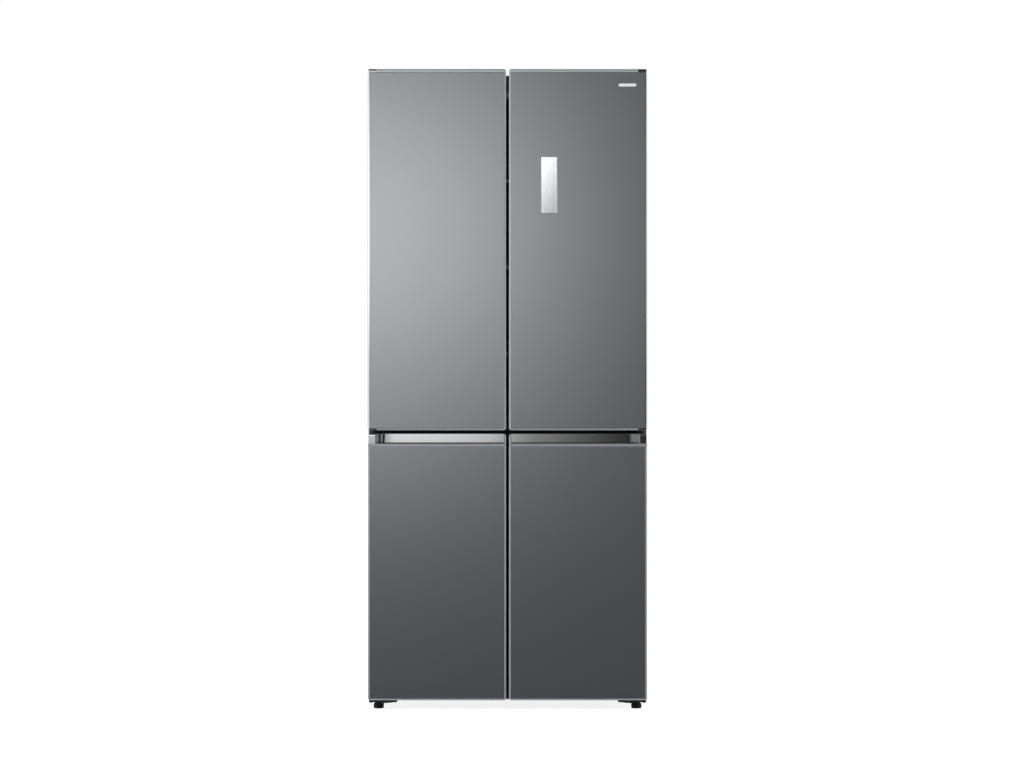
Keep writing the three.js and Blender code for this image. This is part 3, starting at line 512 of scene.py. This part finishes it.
def gasket(node, body):
    """Bellows seal: a round magnet pocket against the cabinet, a folded web and a clipped root."""
    x, y, z = box_spans(node)
    front, back = y
    width = 0.014
    profile = [
        (0.0030, front), (0.0110, front), (0.0110, front + 0.0022), (0.0085, front + 0.0030),
        (0.0105, front + 0.0048), (0.0085, front + 0.0062), (0.0128, front + 0.0066), (width, front + 0.0080),
        (width, back - 0.0010), (width - 0.0010, back), (0.0012, back), (0.0, back - 0.0012),
        (0.0, front + 0.0080), (0.0012, front + 0.0066), (0.0052, front + 0.0062), (0.0032, front + 0.0048),
        (0.0052, front + 0.0030), (0.0030, front + 0.0022),
    ]

    def build(bm):
        sections = [(rounded(grown(x, -d), grown(z, -d), 0.0165 - d, 4), w) for d, w in profile]
        skin(bm, "XZ", sections, loop=True)

    made = piece(f"{node}_bellows", seal_grey, body, build, 50)
    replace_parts(made, node)


for side_name, _ in SIDES:
    for row in ("upper", "lower"):
        gasket(f"{row}_{side_name}_gasket", f"{row}_{side_name}_door")

# ------------------------------------------------------------------ tubs: bins, crispers and drawers


def tub_shell(bm, x, y, z, lip_out=0.0, lip_height=0.004):
    """An open tub with a rounded base and a rolled rim, which stands out by lip_out at the left and right."""
    wall = TUB_WALL

    def at(inset, out=0.0):
        lip = lip_out * out
        radius = max(TUB_RADIUS - inset, 0.0025) + lip * 0.5
        return rounded(grown(x, lip - inset), grown(y, -inset), radius, 6)

    base, top = z
    floor_top = base + wall
    sections = [
        (at(0.007), base),
        (at(0.0025), base + 0.0008),
        (at(0.0007), base + 0.0026),
        (at(0.0), base + 0.007),
        (at(0.0), top - lip_height - 0.0008),
        (at(0.0, 0.8), top - lip_height),
        (at(0.0, 1.0), top - lip_height + 0.0006),
        (at(0.0, 1.0), top - 0.0008),
        (at(0.0006, 0.94), top),
        (at(wall - 0.0005), top),
        (at(wall), top - 0.001),
        (at(wall), floor_top + 0.007),
        (at(wall + 0.0008), floor_top + 0.0026),
        (at(wall + 0.0026), floor_top + 0.0008),
        (at(wall + 0.007), floor_top),
    ]
    skin(bm, "XY", sections)


def plate_shell(bm, plane, u, v, w, radius=0.004, edge=0.001):
    """A flat plate with rounded corners and softened edges, in the plane's u and v, from w[0] to w[1]."""
    rows = (
        (edge, w[0]),
        (edge * 0.3, w[0] + edge * 0.3),
        (0.0, w[0] + edge),
        (0.0, w[1] - edge),
        (edge * 0.3, w[1] - edge * 0.3),
        (edge, w[1]),
    )
    sections = []
    for inset, at in rows:
        sections.append((rounded(grown(u, -inset), grown(v, -inset), max(radius - inset, 0.0003), 4), at))
    skin(bm, plane, sections)


def ribbon(bm, plane, u, v, radius, profile, steps=6):
    """A closed ring swept round a rounded rectangle: profile is a loop of (inset, w)."""
    sections = []
    for inset, w in profile:
        sections.append((rounded(grown(u, -inset), grown(v, -inset), max(radius - inset, 0.001), steps), w))
    skin(bm, plane, sections, loop=True)


def bin_tub(level, side_name):
    """Door bin: clear tub with ribs under its floor and a metal band across its front."""
    name = f"bin_{level}_{side_name}"
    x, y, z = box_spans(name)

    def build(bm):
        tub_shell(bm, x, y, z, lip_height=0.009)
        for i in range(1, 4):
            u = x[0] + (x[1] - x[0]) * i / 4
            rib = (z[0] + 0.0031, z[0] + 0.0052)
            plate_shell(bm, "YZ", grown(y, -0.016), rib, (u - 0.0012, u + 0.0012), 0.001, 0.0004)

    shell = piece(f"{name}_shell", clear_plastic, name, build)
    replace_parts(shell, name)

    def band(bm):
        height = (z[1] - 0.022, z[1] - 0.010)
        plate_shell(bm, "XZ", grown(x, -0.014), height, (y[1] + 0.0001, y[1] + 0.0022), 0.0035, 0.0007)

    piece(f"{name}_band", satin_metal, name, band)


def crisper_tub(side_name):
    """Crisper: clear tub behind a frosted front with a raised handle rim."""
    name = f"crisper_{side_name}"
    x, y, z = box_spans(name)
    front = y[0] + HANDLE_DEPTH

    def build(bm):
        tub_shell(bm, x, (front + 0.003, y[1]), z, lip_height=0.005)

    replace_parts(piece(f"{name}_shell", clear_plastic, name, build), name)

    def face(bm):
        plate = (front - 0.0002, front + 0.0028)
        plate_shell(bm, "XZ", grown(x, -0.0005), (z[0] + 0.001, z[1]), plate, 0.010, 0.0009)
        insets = (0.0, 0.0, 0.0006, 0.002, 0.0045, 0.0055, 0.0055)
        depths = (front, y[0] + 0.0025, y[0] + 0.001, y[0] + 0.0003, y[0] + 0.0006, y[0] + 0.002, front)
        ribbon(bm, "XZ", grown(x, -0.045), (z[1] - 0.030, z[1] - 0.003), 0.008, list(zip(insets, depths)))

    piece(f"{name}_front", frosted_plastic, name, face)


def drawer_tub(level, side_name):
    """Freezer drawer: clear tub with side rims and stiffening beads, behind a frosted front."""
    name = f"drawer_{level}_{side_name}"
    x, y, z = box_spans(name)
    front, top = y[0] + HANDLE_DEPTH, z[1] - 0.008
    rim = 0.008
    body_x = grown(x, -rim)

    def build(bm):
        tub_shell(bm, body_x, (front + 0.0085, y[1]), (z[0], top), lip_out=rim)
        for i in range(1, 5):
            v = front + 0.02 + (y[1] - front - 0.04) * i / 5
            for u in (body_x[0] - 0.0012, body_x[1] - 0.0004):
                bead = (z[0] + 0.02, top - 0.02)
                plate_shell(bm, "YZ", (v - 0.003, v + 0.003), bead, (u, u + 0.0016), 0.0025, 0.0007)

    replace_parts(piece(f"{name}_shell", clear_plastic, name, build), name)

    def face(bm):
        plate_shell(bm, "XZ", grown(x, -0.001), z, (front, front + 0.008), 0.008, 0.002)
        insets = (0.0, 0.0, 0.0008, 0.0028, 0.0055, 0.0068, 0.0068)
        depths = (front, y[0] + 0.0025, y[0] + 0.0008, y[0] + 0.0002, y[0] + 0.0006, y[0] + 0.002, front)
        ribbon(bm, "XZ", grown(body_x, -0.060), (top - 0.034, top + 0.0055), 0.010, list(zip(insets, depths)))

    piece(f"{name}_front", frosted_plastic, name, face)


for side_name, _ in SIDES:
    for level in ("low", "middle", "high"):
        bin_tub(level, side_name)
    crisper_tub(side_name)
    for level in ("top", "middle", "bottom"):
        drawer_tub(level, side_name)

# ------------------------------------------------------------------ shelf trims, lamp and air outlets


def shelf_trim(node, end, material):
    """Channel clipped over a shelf's front or back edge, with a low rim."""
    x, y, z = box_spans(node)
    is_front = end == "front"
    edge, inward = (y[0], 1) if is_front else (y[1], -1)
    deep, rim = (0.014, 0.0035) if is_front else (0.010, 0.006)
    wall = 0.0012
    fit = 0.0002

    def back(distance):
        return edge + inward * distance

    def build(bm):
        outline = [
            (back(-0.0024), z[0] - wall * 0.4),
            (back(-0.0018), z[0] - wall),
            (back(deep), z[0] - wall),
            (back(deep), z[0] - fit),
            (back(-fit), z[0] - fit),
            (back(-fit), z[1] + fit),
            (back(deep * 0.6), z[1] + fit),
            (back(deep * 0.6), z[1] + wall),
            (back(0.0005), z[1] + rim * 0.5),
            (back(-0.0012), z[1] + rim * 0.5),
            (back(-0.0024), z[1] + rim * 0.3),
        ]
        skin(bm, "YZ", [(outline, x[0] + 0.001), (outline, x[1] - 0.001)])

    piece(f"{node}_{end}_trim", material, "cabinet", build)


for shelf in ("shelf_upper", "shelf_middle", "crisper_cover"):
    shelf_trim(shelf, "front", satin_metal)
    shelf_trim(shelf, "back", trim_white)


def lamp():
    """Ribbed lens of the lamp in the fridge's ceiling."""
    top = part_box("mullion_guide")[1].z
    x, y = (-0.070, 0.070), (-0.060, 0.0)
    ribs, pitch = 11, 0.010

    def build(bm):
        rows = [
            (0.0, top),
            (0.0, top - 0.004),
            (0.0008, top - 0.0052),
            (0.0024, top - 0.006),
            (0.0060, top - 0.0062),
        ]
        skin(bm, "XY", [(rounded(grown(x, -d), grown(y, -d), 0.010 - d, 6), w) for d, w in rows])
        for i in range(ribs):
            u = (i - (ribs - 1) / 2) * pitch
            height = (top - 0.0074, top - 0.0060)
            plate_shell(bm, "XY", (u - 0.0022, u + 0.0022), grown(y, -0.009), height, 0.0021, 0.0006)

    piece("fridge_lamp_lens", frosted_plastic, "cabinet", build)


DUCT_OUTLETS = (1.085, 1.180, 1.330, 1.425, 1.575, 1.670)  # heights of the outlets in the air duct


def duct_louvres():
    """Raised rim and three upright vanes on each outlet of the air duct."""
    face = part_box("air_duct")[0].y
    insets = (0.0, 0.0, 0.0007, 0.0022, 0.0029, 0.0031)
    depths = (0.0002, 0.0012, 0.0018, 0.0018, 0.0012, 0.0002)
    rim = [(inset, face - depth) for inset, depth in zip(insets, depths)]

    def build(bm):
        for height in DUCT_OUTLETS:
            for middle in (-0.048, 0.048):
                u, v = grown((middle, middle), 0.033), grown((height, height), 0.008)
                ribbon(bm, "XZ", u, v, 0.004, rim, 4)
                for k in (-1, 0, 1):
                    u = middle + k * 0.015
                    span = grown((height, height), 0.0052)
                    deep = (face - 0.0010, face + 0.0060)
                    plate_shell(bm, "XZ", grown((u, u), 0.0007), span, deep, 0.0006, 0.0002)

    piece("air_duct_louvres", trim_white, "cabinet", build)


lamp()
duct_louvres()

# ------------------------------------------------------------------ screws, brackets and rear fittings


def screw(bm, plane, u, v, w, out, r=0.0042, height=0.0022):
    """Washer-headed screw with a six-sided socket; out is +1 or -1 along the plane's third axis."""
    n = 24

    def hexagon(angle, i):
        flat = 0.866  # a hexagon's reach to the middle of a side, against 1 to its corners
        return 1 / max(math.cos((angle % (math.pi / 3)) - math.pi / 6), 0.5) * flat

    rows = (  # (radius and height as shares of the screw's, shape)
        (1.25, 0.0, None),
        (1.25, 0.28, None),
        (0.9, 0.4, None),
        (0.86, 0.75, None),
        (0.7, 1.0, None),
        (0.5, 1.0, hexagon),
        (0.46, 0.35, hexagon),
    )
    skin(bm, plane, [(circle(u, v, r * wide, n, shape), w + out * height * up) for wide, up, shape in rows])


def back_panel_screws(face):
    """Screws along the four edges of the back panel."""
    x, _, z = box_spans("back_panel")

    def build(bm):
        for i in range(7):
            u = x[0] + 0.03 + (x[1] - x[0] - 0.06) * i / 6
            for v in (z[0] + 0.016, z[1] - 0.014):
                screw(bm, "XZ", u, v, face, 1)
        for i in range(1, 6):
            v = z[0] + (z[1] - z[0]) * i / 6
            for u in (x[0] + 0.012, x[1] - 0.012):
                screw(bm, "XZ", u, v, face, 1)

    piece("back_panel_screws", screw_steel, "cabinet", build)


def back_panel_beads(face):
    """Three long pressed beads, which stiffen the back panel."""
    _, _, z = box_spans("back_panel")
    spacing, half_width = 0.22, 0.030

    def build(bm):
        for i in (-1, 0, 1):
            u = grown((i * spacing, i * spacing), half_width)
            v = grown(z, -0.12)
            rows = ((0.0, 0.0), (0.0015, 0.0012), (0.004, 0.0024), (0.008, 0.0028))
            sections = []
            for inset, rise in rows:
                outline = rounded(grown(u, -inset), grown(v, -inset), half_width - 0.0005 - inset, 10)
                sections.append((outline, face + rise))
            skin(bm, "XZ", sections)

    piece("back_panel_beads", galvanised_sheet, "cabinet", build)


def machine_cover_louvres(face):
    """Hooded louvres over the slots in the machine room's cover, in five rows of five."""
    first_row, row_pitch = 0.087, 0.028
    first_column, column_pitch = -0.260, 0.110
    length = 0.078

    def build(bm):
        for row in range(5):
            low = first_row + row * row_pitch
            outline = [
                (face, low),
                (face, low + 0.008),
                (face + 0.0008, low + 0.0072),
                (face + 0.0028, low + 0.003),
                (face + 0.0032, low - 0.0015),
                (face + 0.0024, low - 0.0018),
                (face + 0.0018, low),
            ]
            for column in range(5):
                left = first_column + column * column_pitch + 0.001
                skin(bm, "YZ", [(outline, left), (outline, left + length)])

    piece("machine_cover_louvres", dark_plastic, "cabinet", build)


def machine_cover_screws(face):
    """Screws along the top and bottom of the machine room's cover."""
    x, _, z = box_spans("machine_cover")

    def build(bm):
        for i in range(5):
            u = x[0] + 0.02 + (x[1] - x[0] - 0.04) * i / 4
            for v in (z[0] + 0.010, z[1] - 0.010):
                screw(bm, "XZ", u, v, face, 1)

    piece("machine_cover_screws", screw_steel, "cabinet", build)


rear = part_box("back_panel")[1].y
back_panel_screws(rear + 0.0001)
back_panel_beads(rear + 0.0001)
machine_cover_louvres(rear + 0.0011)
machine_cover_screws(rear + 0.0011)


def hinge_cover_screws():
    """One screw in the top of each hinge cover."""

    def build(bm):
        for side_name, _ in SIDES:
            low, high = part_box(f"hinge_cover_{side_name}")
            screw(bm, "XY", (low.x + high.x) / 2, high.y - 0.028, high.z - 0.0030, 1, 0.0036, 0.0024)

    piece("hinge_cover_screws", screw_steel, "cabinet", build)


def mid_hinge_screws():
    """One black screw in the inner end of each middle hinge."""
    inset = 0.010

    def build(bm):
        for side_name, side in SIDES:
            low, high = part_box(f"mid_hinge_{side_name}")
            u = low.x + inset if side > 0 else high.x - inset
            screw(bm, "XZ", u, (low.z + high.z) / 2, high.y - 0.0031, -1, 0.0032, 0.0018)

    piece("mid_hinge_screws", black_paint, "cabinet", build)


hinge_cover_screws()
mid_hinge_screws()


def corner_bracket(side_name, side):
    """Grey sheet bracket that hangs under each front corner."""
    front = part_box(f"bottom_hinge_{side_name}")[0].y
    door_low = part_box(f"lower_{side_name}_frame")[0].z
    outline = [
        (0.3905, door_low - 0.0006),
        (0.3900, door_low - 0.0030),
        (0.3870, 0.0204),
        (0.3860, 0.0202),
        (0.3745, door_low - 0.0030),
        (0.3720, door_low - 0.0006),
    ]

    def build(bm):
        shape = [(side * u, v) for u, v in outline]
        skin(bm, "XZ", [(shape, front - 0.0024), (shape, front - 0.0004)])

    piece(f"corner_bracket_{side_name}", satin_metal, "cabinet", build)


def painted_recess_shadow(side_name, side):
    """Black strip along the foot of the bright grip face: painted shadow of the pocket behind the lip."""
    low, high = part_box(f"lower_{side_name}_grip")
    inner_gap, outer_gap = 0.0040, 0.0070
    x = (low.x + inner_gap, high.x - outer_gap) if side > 0 else (low.x + outer_gap, high.x - inner_gap)
    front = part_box(f"lower_{side_name}_frame")[0].y + 0.0092
    foot, top = RECESS_FLOOR - 0.0022, RECESS_FLOOR + 0.0034
    outline = [
        (front, foot),
        (front, top - 0.0008),
        (front + 0.0004, top - 0.0002),
        (front + 0.0016, top),
        (front + 0.0022, top - 0.0008),
        (front + 0.0022, foot),
    ]

    def build(bm):
        skin(bm, "YZ", [(outline, x[0]), (outline, x[1])])

    body = f"lower_{side_name}_door"
    piece(f"lower_{side_name}_recess_painted_shadow_strip", black_plastic, body, build)


def grip_end(side_name, side):
    """Slanting end of the grip recess, which turns smoothly into its back; its satin metal is darkened as
    painted shade.
    """
    low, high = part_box(f"lower_{side_name}_frame")
    outer_edge = high.x if side > 0 else -low.x
    inner = [  # (depth behind the door's front, distance in from the slant)
        (0.0006, 0.0003),
        (0.0016, 0.0010),
        (0.0040, 0.0022),
        (0.0075, 0.0034),
        (0.0150, 0.0036),
        (0.0205, 0.0038),
        (0.0250, 0.0043),
        (0.0280, 0.0054),
        (0.0296, 0.0072),
        (0.0300, 0.0095),
    ]
    outer = [(0.0325, 0.0095), (0.0325, 0.0006), (0.0200, 0.0002), (0.0008, 0.0001)]

    def at(depth, inset):
        return (side * (outer_edge - RECESS_END - depth * END_SLOPE - inset), low.y + depth)

    def build(bm):
        outline = [at(*point) for point in inner + outer]
        skin(bm, "XY", [(outline, RECESS_FLOOR + 0.0003), (outline, high.z - 0.0006)])

    body = f"lower_{side_name}_door"
    piece(f"lower_{side_name}_grip_end", grip_end_painted_shade, body, build, 30)


def compressor_seam():
    """Weld seam round the compressor's shell."""
    rows = (
        (0.0700, 0.104),
        (0.0725, 0.1045),
        (0.0732, 0.1065),
        (0.0725, 0.1085),
        (0.0700, 0.109),
        (0.0690, 0.1085),
        (0.0690, 0.1045),
    )

    def build(bm):
        skin(bm, "XY", [(circle(*COMPRESSOR_AT, r, 64), height) for r, height in rows], loop=True)

    piece("compressor_seam", black_paint, "cabinet", build)


def compressor_pipes():
    """Short rising copper pipes: each is (angle, reach, rise, radius)."""
    pipes = ((2.2, 0.10, 0.05, 0.0035), (2.75, 0.13, 0.03, 0.004), (3.4, 0.08, 0.035, 0.003))
    steps = 14

    def build(bm):
        for angle, reach, rise, r in pipes:
            across = 0.066 * math.cos(angle)
            along = 0.066 * math.sin(angle) * 0.6
            start = Vector((COMPRESSOR_AT[0] + across, COMPRESSOR_AT[1] + along, 0.120))
            out = Vector((math.cos(angle), math.sin(angle) * 0.4, 0))
            points = []
            for i in range(steps + 1):
                t = i / steps
                points.append(start + out * reach * t + Vector((0, 0, rise * t * t)))
            tube(bm, points, r)

    piece("compressor_pipes", copper, "cabinet", build)


def tube(bm, points, r, sides=12):
    """A round tube along a run of points."""
    rings = []
    for i, point in enumerate(points):
        ahead = (points[min(i + 1, len(points) - 1)] - points[max(i - 1, 0)]).normalized()
        across = ahead.cross(Vector((0, 0, 1)) if abs(ahead.z) < 0.9 else Vector((1, 0, 0))).normalized()
        up = across.cross(ahead)
        ring = []
        for k in range(sides):
            angle = 2 * math.pi * k / sides
            ring.append(bm.verts.new(point + (across * math.cos(angle) + up * math.sin(angle)) * r))
        rings.append(ring)
    for a, b in zip(rings, rings[1:]):
        for i in range(sides):
            j = (i + 1) % sides
            bm.faces.new((a[i], a[j], b[j], b[i]))
    bm.faces.new(list(reversed(rings[0])))
    bm.faces.new(rings[-1])


for side_name, side in SIDES:
    corner_bracket(side_name, side)
    painted_recess_shadow(side_name, side)
    grip_end(side_name, side)
compressor_seam()
compressor_pipes()

# ------------------------------------------------------------------ badge, display rim and mullion seal


def badge():
    """Plain bright bar with no lettering, near the door's top outer corner."""
    _, y, z = box_spans("upper_right_panel")
    centre_x, centre_z = 0.3385, z[1] - 0.036
    half_width, half_height = 0.025, 0.0042
    u = grown((centre_x, centre_x), half_width)
    v = grown((centre_z, centre_z), half_height)
    front = y[0] - 0.0004

    def build(bm):
        rows = [(0.0, y[0] - 0.00002), (0.0, front + 0.0001), (0.0002, front + 0.00003), (0.0006, front)]
        skin(bm, "XZ", [(rounded(grown(u, -d), grown(v, -d), 0.0040 - d, 6), w) for d, w in rows])

    piece("badge_bar", badge_metal, "upper_right_door", build)


def display_rim():
    """Thin metal rim round the display window."""
    x, y, z = box_spans("display_window")
    insets = (0.0, 0.0, 0.00025, 0.0014, 0.0016, 0.0016)
    depths = (0.0003, 0.0001, -0.0001, -0.0001, 0.00005, 0.0003)

    def build(bm):
        profile = [(inset, y[0] + depth) for inset, depth in zip(insets, depths)]
        ribbon(bm, "XZ", grown(x, 0.0010), grown(z, 0.0010), 0.0016, profile, 3)

    piece("display_rim", satin_metal, "upper_right_door", build)


def mullion_seal():
    """Nearly flush strip that faces the door seals when the mullion beam is folded out."""
    x, y, z = box_spans("mullion_beam")
    face = x[1]

    def build(bm):
        strip = (y[0] + 0.012, y[1] - 0.008)
        plate_shell(bm, "YZ", strip, grown(z, -0.016), (face - 0.0004, face + 0.0002), 0.004, 0.0002)

    piece("mullion_face_strip", seal_grey, "mullion_beam", build)


badge()
display_rim()
mullion_seal()

# ------------------------------------------------------------------ studio


def stage_mesh(name, corners, material):
    mesh = bpy.data.meshes.new(name)
    mesh.from_pydata(corners, [], [(0, 1, 2, 3)])
    mesh.materials.append(material)
    obj = bpy.data.objects.new(name, mesh)
    bpy.context.scene.collection.objects.link(obj)
    return obj


def floor():
    """Pale floor that glows a little, so that it stays white under the object."""
    look = Look("floor_pale", roughness=0.9)
    cloud = look.ranged(look.noise(0.8), 0, 1)
    look.drive("Base Color", look.mix(cloud, (0.90, 0.90, 0.90), (0.93, 0.93, 0.93)))
    look.shader.inputs["Emission Color"].default_value = (1, 1, 1, 1)
    look.shader.inputs["Emission Strength"].default_value = 0.85
    half = 60
    corners = [(-half, -half, 0), (half, -half, 0), (half, half, 0), (-half, half, 0)]
    made = stage_mesh("floor", corners, look.material)
    made.visible_glossy = False


def only_reflected(obj):
    """Hides a card from everything but reflections."""
    obj.visible_camera = False
    obj.visible_diffuse = False
    obj.visible_shadow = False
    obj.visible_transmission = False


def emitting(look, level):
    """Turns a look into a light of the given level."""
    emission = look.node("ShaderNodeEmission", {"Strength": level})
    look.tree.links.new(emission.outputs[0], look.tree.nodes["Material Output"].inputs["Surface"])
    return look.material


# The softbox wall, in metres: it is brightest on the left and at CARD_MIDDLE's height.
CARD_BRIGHT, CARD_DIM = 1.46, 0.03
CARD_FROM, CARD_TO = -0.34, 0.47
CARD_MIDDLE, CARD_SPREAD = 1.41, 0.37
CARD_BASE = 0.011
# A brighter strip low on the left, and a darker band at the height that the grips reflect.
STRIP_BRIGHT, STRIP_MIDDLE, STRIP_SPREAD, STRIP_ENDS = 0.40, 0.77, 0.05, (-0.40, -0.15)
DIP_DEPTH, DIP_MIDDLE, DIP_SPREAD, DIP_ENDS = 0.39, 0.96, 0.06, (-0.06, 0.08)
EDGE_DEPTH, EDGE_FALL, EDGE_RISE = 0.90, (-0.405, -0.360), (-0.60, -0.50)


def bell(look, middle, spread):
    """A bell curve of height: 1 at middle, and falling away over spread."""
    lift = look.math("SUBTRACT", look.axis(2), middle)
    squared = look.math("MULTIPLY", look.math("MULTIPLY", lift, lift), -1.0 / (2 * spread**2))
    return look.math("EXPONENT", squared, 0.0)


def reflection_card():
    """A softbox wall in front of the doors, seen by reflections only."""
    look = Look("card_light", roughness=1.0)
    across = look.axis(0)
    inputs = {"Value": across, "From Min": CARD_FROM, "From Max": CARD_TO}
    inputs.update({"To Min": CARD_BRIGHT, "To Max": CARD_DIM})
    fall = look.node("ShaderNodeMapRange", inputs, interpolation_type="SMOOTHSTEP").outputs["Result"]
    wall = look.math("ADD", look.math("MULTIPLY", fall, bell(look, CARD_MIDDLE, CARD_SPREAD)), CARD_BASE)
    strip_across = look.ranged(across, STRIP_BRIGHT, 0.0, *STRIP_ENDS)
    strip = look.math("MULTIPLY", strip_across, bell(look, STRIP_MIDDLE, STRIP_SPREAD))
    edge = look.ranged(across, EDGE_DEPTH, 0.0, *EDGE_FALL)
    edge = look.math("MULTIPLY", edge, look.ranged(across, 0.0, 1.0, *EDGE_RISE))
    both_dips = look.math("ADD", look.ranged(across, 0.0, DIP_DEPTH, *DIP_ENDS), edge)
    dip = look.math("MULTIPLY", both_dips, bell(look, DIP_MIDDLE, DIP_SPREAD))
    level = look.math("ADD", look.math("MULTIPLY", wall, look.math("SUBTRACT", 1.0, dip)), strip)
    y, half, low, high = -1.55, 3.0, -2.0, 5.0
    corners = [(-half, y, low), (half, y, low), (half, y, high), (-half, y, high)]
    only_reflected(stage_mesh("softbox_wall", corners, emitting(look, level)))


def side_cards():
    """Bright walls at the sides, which light the rounded edges of the doors."""
    for side_name, side in SIDES:
        look = Look(f"side_light_{side_name}", roughness=1.0)
        x, y, z = side * 1.7, (-1.1, 2.5), (-0.2, 2.6)
        corners = [(x, y[0], z[0]), (x, y[1], z[0]), (x, y[1], z[1]), (x, y[0], z[1])]
        level = look.ranged(look.axis(2), 0.80, 1.15, z[0], z[1])
        only_reflected(stage_mesh(f"side_card_{side_name}", corners, emitting(look, level)))


def area_light(name, place, target, size, power):
    data = bpy.data.lights.new(name, "AREA")
    data.shape = "RECTANGLE"
    data.size, data.size_y = size
    data.energy = power
    obj = bpy.data.objects.new(name, data)
    obj.location = place
    obj.rotation_euler = (Vector(target) - Vector(place)).to_track_quat("-Z", "Y").to_euler()
    obj.visible_glossy = False
    obj.visible_camera = False
    bpy.context.scene.collection.objects.link(obj)


def world():
    """White behind the object, soft grey for diffuse light and near dark in reflections."""
    made = bpy.data.worlds.new("studio")
    made.use_nodes = True
    tree = made.node_tree
    ray = tree.nodes.new("ShaderNodeLightPath")

    def background(color, strength):
        node = tree.nodes.new("ShaderNodeBackground")
        node.inputs["Color"].default_value = (*color, 1)
        node.inputs["Strength"].default_value = strength
        return node.outputs[0]

    def either(ray_kind, no, yes):
        node = tree.nodes.new("ShaderNodeMixShader")
        tree.links.new(ray.outputs[ray_kind], node.inputs[0])
        tree.links.new(no, node.inputs[1])
        tree.links.new(yes, node.inputs[2])
        return node.outputs[0]

    soft = either("Is Glossy Ray", background((0.60, 0.63, 0.66), 1.0), background((0.9, 0.95, 1.0), 0.10))
    shown = either("Is Camera Ray", soft, background((1, 1, 1), 1.0))
    tree.links.new(shown, tree.nodes["World Output"].inputs["Surface"])
    bpy.context.scene.world = made


VIEW_WIDTH = 2.8887  # width of the picture at the doors, in metres
CAMERA_DISTANCE = 11.5
CAMERA_RIGHT = 0.0127
CAMERA_BELOW_TOP = 0.8889


def camera():
    """Straight on to the doors with a long lens, as the product is seen."""
    low, high = cad_box
    data = bpy.data.cameras.new("camera")
    data.sensor_width = 36
    data.lens = data.sensor_width * CAMERA_DISTANCE / VIEW_WIDTH
    data.clip_end = 100
    obj = bpy.data.objects.new("camera", data)
    obj.location = (CAMERA_RIGHT, low[1] - CAMERA_DISTANCE, high[2] - CAMERA_BELOW_TOP)
    obj.rotation_euler = (math.pi / 2, 0, 0)
    bpy.context.scene.collection.objects.link(obj)
    bpy.context.scene.camera = obj


floor()
reflection_card()
side_cards()
area_light("key", (-3.2, -4.2, 4.2), (0, 0, 0.9), (3.0, 3.0), 160)
area_light("fill", (3.8, -3.0, 2.6), (0, 0, 0.9), (3.0, 3.0), 50)
world()
camera()
settings = bpy.context.scene.view_settings
settings.view_transform = "Standard"
settings.look = "None"
